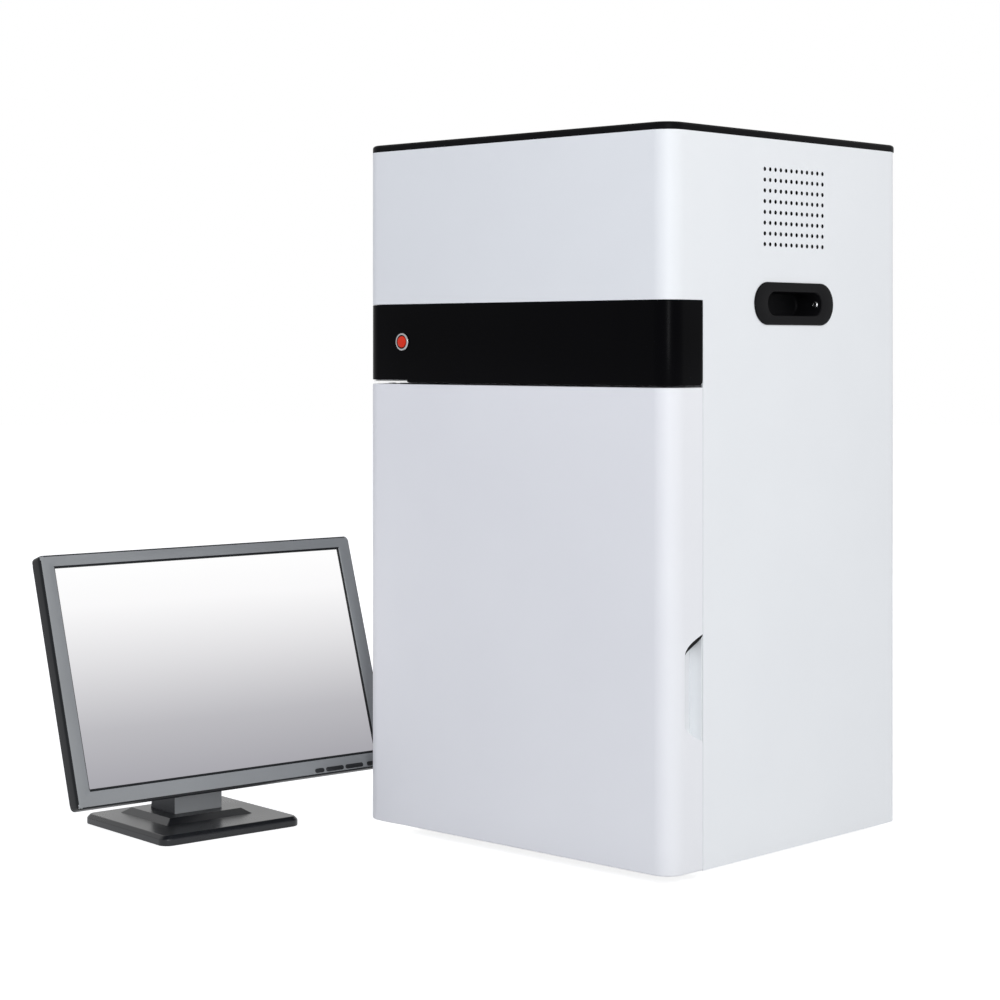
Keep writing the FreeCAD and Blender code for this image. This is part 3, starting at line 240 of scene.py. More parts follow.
def settle(name, mesh, material, nodes, crease=35.0):
    """Makes a piece of a mesh: its faces are smooth up to a crease angle, it rides on the body of the CAD
    nodes that it stands for, and those nodes are hidden."""
    mesh.materials.clear()
    mesh.materials.append(material)
    mesh.shade_smooth()
    mesh.set_sharp_from_angle(angle=math.radians(crease))
    piece = bpy.data.objects.new(name, mesh)
    scene.collection.objects.link(piece)
    bodies = frame["record"]["behaviour"]["bodies"]
    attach(piece, next(body for body, members in bodies.items() if nodes[0] in members))
    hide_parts(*nodes)
    return piece


def break_edges(piece, width, segments=2):
    """Rounds a piece's sharp edges by a fine bevel."""
    bevel = piece.modifiers.new("broken_edges", "BEVEL")
    bevel.width = width
    bevel.segments = segments
    bevel.limit_method = "ANGLE"
    bevel.angle_limit = math.radians(40)
    bevel.harden_normals = True
    bevel.use_clamp_overlap = True
    return piece


def finished(node, material, edge=0.0003):
    """A piece with a CAD node's own shape, its loose triangles merged into smooth faces."""
    work = bmesh.new()
    work.from_mesh(frame["nodes"][node].data)
    bmesh.ops.remove_doubles(work, verts=work.verts, dist=2e-6)
    flat = math.radians(0.5)
    bmesh.ops.dissolve_limit(work, angle_limit=flat, verts=work.verts, edges=work.edges)
    mesh = bpy.data.meshes.new(node + "_finish")
    work.to_mesh(mesh)
    work.free()
    if "custom_normal" in mesh.attributes:
        mesh.attributes.remove(mesh.attributes["custom_normal"])
    piece = settle(node + "_finish", mesh, material, [node], 30.0)
    return break_edges(piece, edge) if edge else piece


def faces_where(mesh, test):
    """A mask over a mesh's faces, from a test of their middles and normals."""
    middles = np.zeros(3 * len(mesh.polygons))
    normals = np.zeros(3 * len(mesh.polygons))
    mesh.polygons.foreach_get("center", middles)
    mesh.polygons.foreach_get("normal", normals)
    return test(middles.reshape(-1, 3), normals.reshape(-1, 3))


def repaint(piece, material, mask):
    """Gives the masked faces of a piece another material."""
    index = np.zeros(len(piece.data.polygons), dtype=np.int32)
    piece.data.polygons.foreach_get("material_index", index)
    index[mask] = len(piece.data.materials)
    piece.data.materials.append(material)
    piece.data.polygons.foreach_set("material_index", index)


vent_middle = (0.0025, 0.6832)
vent_reach = (0.056, 0.046)
shell_white = surface("shell_white", (0.855, 0.868, 0.882), (0.885, 0.898, 0.910), (0.42, 0.50),
                      grain_mm=1.3, bump_mm=0.025, Specular_IOR_Level=0.3)
# A near-black paint used as painted shade: on the vent hole walls, in the button ring's bore and on the strip in
# the scoop's slot.
painted_shade_black = surface("painted_shade_black", (0.004, 0.004, 0.004), (0.010, 0.010, 0.010), (0.55, 0.65),
                     grain_mm=0.8, bump_mm=0.02, Specular_IOR_Level=0.1)
shell = finished("cabinet_shell", shell_white, edge=0.00015)
# The walls of the vent holes are painted near black: painted shade inside the holes.
vent_wall_shade = faces_where(shell.data, lambda middle, normal: (
    (abs(normal[:, 0]) < 0.7) & (abs(middle[:, 1] - vent_middle[0]) < vent_reach[0])
    & (abs(middle[:, 2] - vent_middle[1]) < vent_reach[1]) & (abs(middle[:, 0]) > 0.2)))
repaint(shell, painted_shade_black, vent_wall_shade)
finished("rear_panel", shell_white, edge=0.0004)


# Top cap: a black lid with a rounded rim, moulded in one piece. It is one profile carried round the
# cabinet's plan, and the collar below it presses into the top of the shell.
cap_edge = 0.0035
cap_collar = (-0.0045, -0.0075)
cap_black = surface("cap_black", (0.0025, 0.0025, 0.003), (0.005, 0.005, 0.0055), (0.36, 0.46),
                    grain_mm=0.9, bump_mm=0.03, Specular_IOR_Level=0.04)
axes = np.eye(3)


def rings(low, high, radius, profile, steps=8, origin=(0, 0, 0), frame_axes=axes):
    """Closed rings for a loft: each row of the profile is how far a rounded rectangle grows and how high
    it lies. The rectangle is four quarter circles and its straight sides, in the plane of the first two
    axes, and the height runs along the third."""
    low, high, profile = np.array(low), np.array(high), np.array(profile)
    middle, half = (low + high) / 2, (high - low) / 2
    side = np.repeat([[1, 1], [-1, 1], [-1, -1], [1, -1]], steps + 1, axis=0)
    angle = (np.arange(4)[:, None] * math.pi / 2 + np.linspace(0, math.pi / 2, steps + 1)).ravel()
    grow = profile[:, 0][:, None, None]
    bend = np.maximum(radius + grow, 1e-5)
    unit = np.stack([np.cos(angle), np.sin(angle)], axis=-1)
    flat = middle + side * (half + grow - bend) + bend * unit
    height = np.broadcast_to(profile[:, 1][:, None, None], flat.shape[:2] + (1,))
    return np.array(origin) + np.concatenate([flat, height], axis=-1) @ np.array(frame_axes)


def arc(centre, radius, start, end, steps=6):
    """Points of a profile along an arc, between two angles in degrees."""
    angle = np.radians(np.linspace(start, end, steps + 1))
    return np.stack([centre[0] + radius * np.cos(angle), centre[1] + radius * np.sin(angle)], axis=-1)


def loft(stack, closed=False):
    """Points and faces over a stack of rings: quads between neighbours, and a flat face on each end, or
    quads from the last ring back to the first."""
    count, size = stack.shape[:2]
    row = np.arange(count if closed else count - 1)[:, None]
    column = np.arange(size)[None, :]
    after = (column + 1) % size
    above = (row + 1) % count
    quads = np.stack([row * size + column, row * size + after, above * size + after, above * size + column],
                     axis=-1).reshape(-1, 4).tolist()
    if not closed:
        quads += [list(range(size))[::-1], list(range((count - 1) * size, count * size))]
    return stack.reshape(-1, 3), quads


def joined(*solids):
    """Several lofts as one list of points and faces."""
    points, faces, start = [], [], 0
    for solid_points, solid_faces in solids:
        points.append(solid_points)
        faces += [[start + index for index in face] for face in solid_faces]
        start += len(solid_points)
    return np.concatenate(points), faces


def closed_mesh(name, points, faces):
    """A mesh of closed solids, with doubled points merged and its faces turned outwards."""
    mesh = bpy.data.meshes.new(name)
    mesh.from_pydata(np.asarray(points).tolist(), [], faces)
    work = bmesh.new()
    work.from_mesh(mesh)
    bmesh.ops.remove_doubles(work, verts=work.verts, dist=1e-7)
    bmesh.ops.recalc_face_normals(work, faces=work.faces)
    work.to_mesh(mesh)
    work.free()
    return mesh


cap_low, cap_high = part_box("top_cap")
shell_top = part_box("cabinet_shell")[1].z
cap_height = cap_high.z - shell_top
corner_radius = 0.022
cap_profile = np.vstack([
    [(cap_collar[1], 0.0), (cap_collar[1], -0.006), (cap_collar[0], -0.006), (cap_collar[0], 0.0)],
    arc((-0.0008, 0.0008), 0.0008, 270, 360, 3),
    arc((-cap_edge, cap_height - cap_edge), cap_edge, 0, 90, 8),
    [(-0.012, cap_height), (-0.050, cap_height)]])
cap_rings = rings(cap_low.xy, cap_high.xy, corner_radius, cap_profile, steps=12, origin=(0, 0, shell_top))
settle("lid", closed_mesh("lid", *loft(cap_rings)), cap_black, ["top_cap"])


# Front band: black moulded trim that wraps both front corners. Its lower edge is notched over the hinge
# plate, its rear ends are rounded below, and the start button passes through a hole in it.
band_edge = 0.0006
band_wall = 0.003
band_end_radius = 0.005
notch_rise = 0.0025
sudden_step = 0.0001
band_low, band_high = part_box("front_band")
notch_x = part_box("upper_hinge_plate")[1].x
half_width = cap_high.x
front = cap_low.y
band_black = surface("band_black", (0.0004, 0.0004, 0.0008), (0.0010, 0.0010, 0.0016), (0.24, 0.32),
                     grain_mm=0.8, bump_mm=0.03, Specular_IOR_Level=0.03)


class Wrap:
    """The line round the cabinet's front in plan: a straight return, a quarter circle, the front, a
    quarter circle and the other return. Length runs along it from the left rear end."""

    def __init__(self, reach):
        self.side = reach - corner_radius
        self.bend = corner_radius * math.pi / 2
        self.face = 2 * (half_width - corner_radius)
        self.length = 2 * self.side + 2 * self.bend + self.face

    def at(self, along, depth):
        """Plan points at a length along the line and a depth behind it."""
        first = np.clip((along - self.side) / corner_radius, 0, math.pi / 2)
        second = np.clip((along - self.side - self.bend - self.face) / corner_radius, 0, math.pi / 2)
        angle = math.pi + first + second
        x = corner_radius - half_width + np.clip(along - self.side - self.bend, 0, self.face)
        left = np.clip(self.side - along, 0, self.side)
        right = np.clip(along - (self.length - self.side), 0, self.side)
        y = front + corner_radius + left + right
        radius = corner_radius - depth
        return np.stack([x + radius * np.cos(angle), y + radius * np.sin(angle)], axis=-1)

    def stations(self, *extra):
        """Lengths that draw the line well: dense round the corners, with more where they are asked for."""
        bends = np.linspace(0, self.bend, 15)
        return np.unique(np.concatenate([[0, self.length], self.side + bends,
                                         self.side + self.bend + self.face + bends, *extra]))


def drilled(mesh, start, axis, radius, length):
    """The mesh with a round hole cut through it."""
    side = np.roll(np.array(axis), 1)
    tool_axes = (side, np.cross(axis, side), axis)
    tool_rings = rings((-radius, -radius), (radius, radius), radius, [(0, 0), (0, length)], steps=10,
                       origin=start, frame_axes=tool_axes)
    tool = bpy.data.objects.new("drill", closed_mesh("drill", *loft(tool_rings)))
    blank = bpy.data.objects.new("blank", mesh)
    scene.collection.objects.link(tool)
    scene.collection.objects.link(blank)
    cut = blank.modifiers.new("hole", "BOOLEAN")
    cut.operation = "DIFFERENCE"
    cut.object = tool
    bpy.context.view_layer.update()
    holed = bpy.data.meshes.new_from_object(blank.evaluated_get(bpy.context.evaluated_depsgraph_get()))
    bpy.data.objects.remove(tool)
    bpy.data.objects.remove(blank)
    return holed


band_line = Wrap(band_high.y - front)
end_steps = band_end_radius * (1 - np.cos(np.linspace(0, math.pi / 2, 8)))
notch_start = band_line.side - sudden_step
notch_end = band_line.side + band_line.bend + notch_x - (corner_radius - half_width)
along = band_line.stations(end_steps, band_line.length - end_steps,
                           [notch_start, notch_start + sudden_step, notch_end, notch_end + sudden_step])
from_end = np.minimum(np.minimum(along, band_line.length - along), band_end_radius)
lower = band_low.z + band_end_radius - np.sqrt(band_end_radius ** 2 - (band_end_radius - from_end) ** 2)
lower = lower + notch_rise * ((along > notch_start) & (along <= notch_end))
section_angle = (np.arange(4)[:, None] * math.pi / 2 + np.linspace(0, math.pi / 2, 4)).ravel()
section_in = np.repeat([band_wall - band_edge, band_edge, band_edge, band_wall - band_edge], 4)
section_up = np.repeat([1.0, 1.0, 0.0, 0.0], 4)
depth = section_in + band_edge * np.cos(section_angle)
rise = section_up * (band_high.z - band_edge) + (1 - section_up) * (lower[:, None] + band_edge)
rise = rise + band_edge * np.sin(section_angle)
plan = band_line.at(along[:, None], depth[None, :])
band_mesh = closed_mesh("band", *loft(np.concatenate([plan, rise[:, :, None]], axis=-1)))
button_low, button_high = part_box("button_cap")
button_x = (button_low.x + button_high.x) / 2
button_z = (button_low.z + button_high.z) / 2
barrel_radius = 0.00798
band_mesh = drilled(band_mesh, (button_x, front - 0.01, button_z), (0, 1, 0), barrel_radius, 0.02)
settle("trim_band", band_mesh, band_black, ["front_band"])


# Door: a deep moulded cover with round front corners that wraps both sides. Its right return is cut out
# for a finger scoop, its upper left corner is cut off, and both ends are bored for the hinge bushes.
door_wall = 0.0025
door_edge = 0.0015
lid_step = 0.005
corner_cut = 0.004
scoop_front = 0.024
scoop_front_z = (0.1582, 0.2289)
scoop_rise = (0.0179, 0.0193)
scoop_power = (0.62, 0.5)
cut_lead = 0.004
bush_radius = 0.007
door_low, door_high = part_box("door_skin")
door_white = surface("door_white", (0.850, 0.852, 0.874), (0.880, 0.882, 0.900), (0.44, 0.52),
                     grain_mm=1.2, bump_mm=0.02, Specular_IOR_Level=0.3)


def shelled(outer, inner, keep):
    """A closed wall between two grids of points of the same size: the kept cells of the outer grid, the
    same cells of the inner one turned round, and a strip along every open edge. Points of no face go."""
    rows, columns = outer.shape[:2]
    row, column = np.nonzero(keep)
    here = row * columns + column
    cells = np.stack([here, here + 1, here + 1 + columns, here + columns], axis=-1)
    edges = np.stack([cells, np.roll(cells, -1, axis=1)], axis=-1).reshape(-1, 2)
    first, uses = np.unique(np.sort(edges, axis=1), axis=0, return_index=True, return_counts=True)[1:]
    rim = edges[first[uses == 1]]
    count = rows * columns
    strips = np.stack([rim[:, 1], rim[:, 0], rim[:, 0] + count, rim[:, 1] + count], axis=-1)
    faces = np.concatenate([cells, cells[:, ::-1] + count, strips])
    points = np.concatenate([outer.reshape(-1, 3), inner.reshape(-1, 3)])
    used, renumbered = np.unique(faces, return_inverse=True)
    return points[used], renumbered.reshape(-1, 4).tolist()


door_line = Wrap(door_high.y - front)
scoop_start = door_line.length - (door_high.y - front - scoop_front)
scoop_steps = scoop_start + (door_line.length - scoop_start) * np.linspace(0, 1, 17) ** 1.8
cut_start = door_line.side - cut_lead
cut_steps = door_line.side + door_line.bend * np.linspace(0.5, 1, 12)
along = door_line.stations([cut_start, cut_start + sudden_step], cut_steps, scoop_steps)


def scoop_edges(share):
    """Heights of the scoop's lower and upper edge at a share of its way back: both are power curves."""
    lower = scoop_front_z[0] - scoop_rise[0] * share ** scoop_power[0]
    upper = scoop_front_z[1] + scoop_rise[1] * share ** scoop_power[1]
    return lower, upper


scoop_share = np.clip((along - scoop_start) / (door_line.length - scoop_start), 0, 1)
scoop_low, scoop_high = scoop_edges(scoop_share)
from_left = door_line.at(along, 0.0)[:, 0] + half_width
cut_drop = np.where(along > cut_start, np.clip(corner_cut - from_left, 0, corner_cut), 0.0)
door_foot, door_top = door_low.z + 0 * along, door_high.z - cut_drop
quarter = np.linspace(0, math.pi / 2, 6)
edge_in, edge_up = door_edge * (1 - np.sin(quarter)), door_edge * (1 - np.cos(quarter))
rows = [(lid_step, door_foot)] + [(inset, door_foot + up) for inset, up in zip(edge_in, edge_up)]
foot_line, head_line = door_foot + door_edge, door_top - door_edge
rows += [(0.0, foot_line + part * (scoop_low - foot_line)) for part in (0.25, 0.5, 0.75)]
scoop_row = len(rows) + 1
rows += [(0.0, scoop_low + part * (scoop_high - scoop_low)) for part in np.linspace(0, 1, 5)]
rows += [(0.0, scoop_high + part * (head_line - scoop_high)) for part in (0.25, 0.5, 0.75)]
rows += [(inset, door_top - up) for inset, up in zip(edge_in[::-1], edge_up[::-1])]
rows += [(lid_step, door_high.z + 0 * along)]
rear_x = (half_width - lid_step) * np.linspace(-1, 1, len(along))
rear_line = np.stack([rear_x, np.full_like(along, door_high.y)], axis=-1)


def door_grid(wall):
    """The door's surface a wall's thickness inside its outer face: rows along the wrap line, with the
    flat ends running back to the rear plane."""
    sheets = [np.concatenate([door_line.at(along, np.maximum(inset, wall)),
                              np.clip(height, door_foot + wall, door_top - wall)[:, None]], axis=-1)
              for inset, height in rows]
    foot = np.concatenate([rear_line, (door_foot + wall)[:, None]], axis=-1)
    head = np.concatenate([rear_line, (door_high.z - wall + 0 * along)[:, None]], axis=-1)
    sheets[-1][:, 2] = door_high.z - wall
    return np.stack([foot, *sheets, head])


door_keep = np.ones((len(rows) + 1, len(along) - 1), dtype=bool)
door_keep[scoop_row:scoop_row + 4, along[:-1] > scoop_start - 1e-6] = False
door_mesh = closed_mesh("door_cover", *shelled(door_grid(0.0), door_grid(door_wall), door_keep))
hinge = frame["joints"][0]["pos_m"]
door_mesh = drilled(door_mesh, (hinge[0], hinge[1], 0.0), (0, 0, 1), bush_radius, 0.6)
settle("door_cover", door_mesh, door_white, ["door_skin"])


# Finger scoop: a white moulding behind the cut-out in the door's right return. Its floor slopes in towards
# the seam and ends at an upright wall, and its foot curves out to the edge. A black strip fills the slot
# under its upper edge as painted shade, standing for the shadow there.
scoop_depth = (0.0006, 0.0154)
scoop_wall = 0.0012
scoop_margin = 0.0001
scoop_foot = 0.010
floor_steps = 21
wall_steps = 6
slot_height = 0.0042
slot_power = 0.35
shade_strip_depth = (0.00020, 0.00050)
shade_strip_lap = 0.0003
scoop_length = door_line.length - scoop_start
floor_end = 1 - scoop_wall / scoop_length
across_floor, out_again = np.linspace(0, 1, floor_steps), np.linspace(1, 0, wall_steps + 1)[1:]
share = floor_end * np.concatenate([across_floor, np.ones(wall_steps)])
sink = np.concatenate([across_floor, out_again])
share_back = np.where(np.arange(floor_steps + wall_steps) < floor_steps - 1, share, 1.0)
sink_back = np.concatenate([np.full(floor_steps, scoop_wall), scoop_wall * out_again])


def scoop_lines(share):
    """Heights of the pocket's foot, of the slot's lower edge and of the slot's upper edge."""
    foot, head = scoop_edges(share)
    arch = np.sin(math.pi * np.clip(share, 0.001, 0.999)) ** slot_power
    return foot + scoop_margin, head - scoop_margin - slot_height * arch, head - scoop_margin


def scoop_grid(levels, share):
    """Rows of points on the right return, each with its heights and its depth behind the outer face."""
    return np.stack([np.concatenate([door_line.at(scoop_start + share * scoop_length, inset + 0 * share),
                                     height[:, None]], axis=-1) for height, inset in levels])


def pocket_levels(share, sunk, extra):
    """The pocket's rows from its foot, a quarter ellipse that runs from the edge in to the floor, to the
    slot, each with its depth."""
    foot, slot, head = scoop_lines(share)
    rise = np.linspace(0, 1, 9) ** 1.5
    edge, fall, top = scoop_depth[0] + extra, scoop_depth[1] * sunk, foot + scoop_foot
    levels = [(foot + scoop_foot * up, edge + fall * math.sqrt(up * (2 - up))) for up in rise]
    return levels + [(top + part * (slot - top), edge + fall) for part in np.linspace(0.25, 1.0, 4)]


pocket_front = scoop_grid(pocket_levels(share, sink, 0.0), share)
pocket_back = scoop_grid(pocket_levels(share, sink, sink_back), share_back)
pocket_keep = np.ones((pocket_front.shape[0] - 1, len(share) - 1), dtype=bool)
pocket = shelled(pocket_front, pocket_back, pocket_keep)
settle("scoop_pocket", closed_mesh("scoop_pocket", *pocket), shell_white, ["finger_scoop"], 50.0)
# The black strip in the slot is painted shade: it stands for the shadow under the scoop's upper edge.
shade_strip_share = np.linspace(0.02, 1.0, floor_steps)
slot_foot, slot_head = scoop_lines(shade_strip_share)[1:]
shade_strip_front, shade_strip_back = [scoop_grid([(slot_foot - shade_strip_lap, inset), (slot_head, inset)], shade_strip_share)
                           for inset in shade_strip_depth]
strip = shelled(shade_strip_front, shade_strip_back, np.ones((1, len(shade_strip_share) - 1), dtype=bool))
settle("slot_shade_strip", closed_mesh("slot_shade_strip", *strip), painted_shade_black, ["finger_scoop"], 50.0)


# Start button: a chromed ring screwed through the band, its bore painted black as painted shade of the
# gap round the cap, and in it a red cap with a slightly domed face that is pushed in.
ring_proud = 0.002
ring_bead = 0.0012
ring_radius = 0.0098
cap_bore = 0.0075
cap_radius = 0.0063
chrome_ring = surface("chrome_ring", (0.34, 0.34, 0.35), (0.42, 0.42, 0.43), (0.10, 0.18),
                      grain_mm=0.4, bump_mm=0.004, Metallic=1.0)
button_red = surface("button_red", (0.74, 0.036, 0.014), (0.82, 0.050, 0.022), (0.30, 0.38),
                     grain_mm=0.6, bump_mm=0.004, Specular_IOR_Level=0.12)
towards_front = ((1, 0, 0), (0, 0, 1), (0, -1, 0))
ring_profile = np.vstack([
    [(cap_bore - ring_radius, -0.012), (barrel_radius - ring_radius, -0.012),
     (barrel_radius - ring_radius, 0.0)],
    arc((-ring_bead, ring_proud - ring_bead), ring_bead, 0, 90, 6),
    arc((cap_bore + 0.0005 - ring_radius, ring_proud - 0.0005), 0.0005, 90, 180, 4)])
ring_rings = rings((-ring_radius, -ring_radius), (ring_radius, ring_radius), ring_radius, ring_profile,
                   steps=12, origin=(button_x, front, button_z), frame_axes=towards_front)
button_ring = settle("button_ring", closed_mesh("button_ring", *loft(ring_rings, closed=True)), chrome_ring,
                     ["button_bezel"])
button_axis = np.array((button_x, button_z))
# The ring's bore is painted black: painted shade in the gap between ring and cap.
repaint(button_ring, painted_shade_black, faces_where(button_ring.data, lambda middle, normal: (
    np.linalg.norm(middle[:, [0, 2]] - button_axis, axis=1) < cap_bore + 0.0001)))
button_face = -button_low.y + front
dome_profile = np.vstack([[(0, button_face - 0.009)], arc((-0.0008, button_face - 0.0008), 0.0008, 0, 80, 5),
                          [(-0.0030, button_face + 0.0002), (-0.0055, button_face + 0.0003)]])
dome_rings = rings((-cap_radius, -cap_radius), (cap_radius, cap_radius), cap_radius, dome_profile, steps=12,
                   origin=(button_x, front, button_z), frame_axes=towards_front)
settle("start_cap", closed_mesh("start_cap", *loft(dome_rings)), button_red, ["button_cap"])


# Side handles: a deep black moulded cup with a broad rounded flange in each side of the cabinet, held
# by a bright screw through each end wall.
flange_thick = 0.002
flange_bead = 0.0014
cup_size = (0.0947, 0.0251)
cup_wall = 0.0022
cup_depth = 0.034
cup_lip = 0.0012
cup_fillet = 0.003
handle_black = surface("handle_black", (0.0035, 0.0035, 0.004), (0.007, 0.007, 0.008), (0.42, 0.55),
                       grain_mm=0.7, bump_mm=0.03, Specular_IOR_Level=0.06)
for name, node, sign in (("right_handle", "handle_cup_right", 1), ("left_handle", "handle_cup_left", -1)):
    flange_low, flange_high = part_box(node)
    middle = (flange_low + flange_high) / 2
    flange = np.array([flange_high.y - flange_low.y, flange_high.z - flange_low.z]) / 2
    cup = np.array(cup_size) / 2
    cup_floor = -cup_depth + cup_wall
    loops = [
        (cup, [(cup_wall, -cup_depth), (cup_wall, 0.0)]),
        (flange, np.vstack([[(-0.0003, 0.0)],
                            arc((-flange_bead, flange_thick - flange_bead), flange_bead, 0, 90, 6)])),
        (cup, np.vstack([arc((cup_lip, flange_thick - cup_lip), cup_lip, 90, 180, 5),
                         arc((-cup_fillet, cup_floor + cup_fillet), cup_fillet, 0, -90, 5)])),
    ]
    cup_axes = ((0, sign, 0), (0, 0, 1), (sign, 0, 0))
    cup_start = (sign * half_width, middle.y, middle.z)
    cup_rings = [rings(-size, size, size[1], profile, steps=14, origin=cup_start, frame_axes=cup_axes)
                 for size, profile in loops]
    settle(name, closed_mesh(name, *loft(np.concatenate(cup_rings))), handle_black, [node])
bright_steel = surface("bright_steel", (0.60, 0.60, 0.61), (0.70, 0.70, 0.71), (0.20, 0.34),
                       grain_mm=0.3, bump_mm=0.006, Metallic=1.0)
finished("handle_screws", bright_steel, edge=0.00015)


# Display head: a panel in a grey moulded frame with a bevelled outer edge, a thin step round the glass,
# and four oval keys in the lower rail. The frame's outer sides, its inner edge and the step below are
# painted black as painted shade. All of it tilts about the pin in the neck.
bezel_depth = 0.016
bezel_corner = 0.005
panel_half = 0.204
panel_low = -0.146
panel_high = 0.126
panel_face = 0.0605
rail = {"side": 0.018, "top": 0.015, "bottom": 0.020}
shade_rim = 0.0016
shade_line = 0.0032
screen_sunk = 0.0035
tilt = next(joint for joint in frame["joints"] if joint["name"] == "display_tilt")
press = next(joint for joint in frame["joints"] if joint["name"] == "power_press")
pivot = np.array(tilt["pos_m"])
across = np.array(tilt["axis"])
inward = np.array(press["axis"])
upward = np.cross(across, inward)
head_axes = (across, upward, -inward)
bezel_grey = surface("bezel_grey", (0.250, 0.258, 0.264), (0.295, 0.304, 0.311), (0.30, 0.40),
                     grain_mm=0.5, bump_mm=0.008, Specular_IOR_Level=0.4, Metallic=0.2)
# Near-black paint for the frame's outer sides, inner edge and lower step: painted shade.
frame_painted_shade = surface("frame_painted_shade", (0.006, 0.007, 0.008), (0.011, 0.012, 0.014), (0.35, 0.45),
                     grain_mm=0.5, bump_mm=0.008, Specular_IOR_Level=0.15)
head_low, head_high = np.array((-panel_half, panel_low)), np.array((panel_half, panel_high))
view_low = head_low + (rail["side"], rail["bottom"])
view_high = head_high - (rail["side"], rail["top"])


def bezel_ring(part, height, shrink=0.0):
    """One ring of the frame: part 0 lies on its outer edge and part 1 on the edge of the view."""
    ring_low = head_low + part * (view_low - head_low) + shrink
    ring_high = head_high + part * (view_high - head_high) - shrink
    radius = bezel_corner * (1 - part) + 0.0006 * part
    return rings(ring_low, ring_high, radius, [(0, height)], origin=pivot, frame_axes=head_axes)


bezel_back = panel_face - bezel_depth
bezel_profile = [
    (0.0, bezel_back, 0.0), (0.0, panel_face - 0.0045, 0.0), (0.0, panel_face - 0.0020, 0.0003),
    (0.0, panel_face - 0.0008, 0.0010), (0.0, panel_face - 0.0002, 0.0021), (0.18, panel_face, 0.0),
    (0.55, panel_face, 0.0), (0.86, panel_face - 0.0003, 0.0), (0.93, panel_face - 0.0008, 0.0),
    (1.0, panel_face - 0.0020, 0.0), (1.0, panel_face - 0.0058, 0.0)]
bezel_rings = np.concatenate([bezel_ring(part, height, shrink) for part, height, shrink in bezel_profile]
                             + [bezel_ring(0.5, panel_face - 0.0058), bezel_ring(0.5, bezel_back)])
screen_frame = settle("screen_frame", closed_mesh("screen_frame", *loft(bezel_rings, closed=True)),
                      bezel_grey, ["display_bezel"])


def frame_shade_faces(middle, normal):
    """The frame's faces painted black as painted shade: its outer sides and rounded rim, its inner edge, and a
    wider step below.
    """
    place = (middle - pivot) @ np.array(head_axes).T
    outer = np.minimum(head_high - place[:, :2], place[:, :2] - head_low).min(axis=1) < shade_rim
    inner = np.minimum(view_high - place[:, :2], place[:, :2] - view_low).min(axis=1) > -shade_rim
    lower = (place[:, 1] < view_low[1]) & (place[:, 1] > view_low[1] - shade_line)
    within = (place[:, 0] > view_low[0]) & (place[:, 0] < view_high[0])
    return outer | inner | (lower & within)


repaint(screen_frame, frame_painted_shade, faces_where(screen_frame.data, frame_shade_faces))

screen_low, screen_high = view_low - 0.003, view_high + 0.003
screen_rings = rings(screen_low, screen_high, 0.0008,
                     [(0, panel_face - 0.0118), (0, panel_face - 0.0038), (-0.0003, panel_face - screen_sunk),
                      (-0.0048, panel_face - screen_sunk)], steps=3, origin=pivot, frame_axes=head_axes)
screen_glow = bpy.data.materials.new("screen_glow")
screen_glow.use_nodes = True
glow = screen_glow.node_tree
glow_shader = glow.nodes["Principled BSDF"]
glow_shader.inputs["Base Color"].default_value = (0.01, 0.01, 0.012, 1.0)
glow_shader.inputs["Roughness"].default_value = 0.35
glow_shader.inputs["Specular IOR Level"].default_value = 0.05
glow_shader.inputs["Emission Strength"].default_value = 1.0
glow_place = glow.nodes.new("ShaderNodeTexCoord")
glow_up = glow.nodes.new("ShaderNodeVectorMath")
glow_up.operation = "DOT_PRODUCT"
glow_up.inputs[1].default_value = upward
glow_share = glow.nodes.new("ShaderNodeMapRange")
height_zero = float(pivot @ upward)
glow_share.inputs["From Min"].default_value = height_zero + view_low[1]
glow_share.inputs["From Max"].default_value = height_zero + view_high[1]
glow_ramp = glow.nodes.new("ShaderNodeValToRGB")
glow_stops = [(0.0, (0.385, 0.380, 0.410)), (0.25, (0.495, 0.490, 0.515)), (0.55, (0.740, 0.735, 0.750)),
              (0.82, (0.945, 0.940, 0.945)), (1.0, (0.985, 0.985, 0.985))]
for index, (position, colour) in enumerate(glow_stops):
    stop = glow_ramp.color_ramp.elements[index] if index < 2 else glow_ramp.color_ramp.elements.new(position)
    stop.position = position
    stop.color = (*colour, 1.0)
glow.links.new(glow_place.outputs["Object"], glow_up.inputs[0])
glow.links.new(glow_up.outputs["Value"], glow_share.inputs["Value"])
glow.links.new(glow_share.outputs["Result"], glow_ramp.inputs["Fac"])
glow.links.new(glow_ramp.outputs["Color"], glow_shader.inputs["Emission Color"])
settle("lit_screen", closed_mesh("lit_screen", *loft(screen_rings)), screen_glow, ["display_screen"])

key_half_height = 0.0025
key_middle = panel_low + 0.0056
menu_lengths = (0.0248, 0.0244, 0.0126)
menu_spacing = 0.0025
key_straight = 0.00002
key_dark = surface("key_dark", (0.008, 0.009, 0.010), (0.013, 0.014, 0.016), (0.25, 0.35),
                   grain_mm=0.5, bump_mm=0.006, Specular_IOR_Level=0.4)
key_places = {"display_power_key": (panel_half - 0.0217, 0.0123)}
right_end = panel_half - 0.0518 + menu_lengths[0] / 2
for number, length in zip((3, 2, 1), menu_lengths):
    key_places[f"menu_key_{number}"] = (right_end - length / 2, length / 2)
    right_end -= length + menu_spacing
for node, (key_across, half_length) in key_places.items():
    key_low = (key_across - half_length, key_middle - key_half_height)
    key_high = (key_across + half_length, key_middle + key_half_height)
    key_profile = np.vstack([[(0, panel_face - 0.0070)],
                             arc((-0.0006, panel_face + 0.0002), 0.0006, 0, 90, 4)])
    key_rings = rings(key_low, key_high, key_half_height - key_straight, key_profile, steps=6, origin=pivot,
                      frame_axes=head_axes)
    settle(node + "_cap", closed_mesh(node + "_cap", *loft(key_rings)), key_dark, [node])


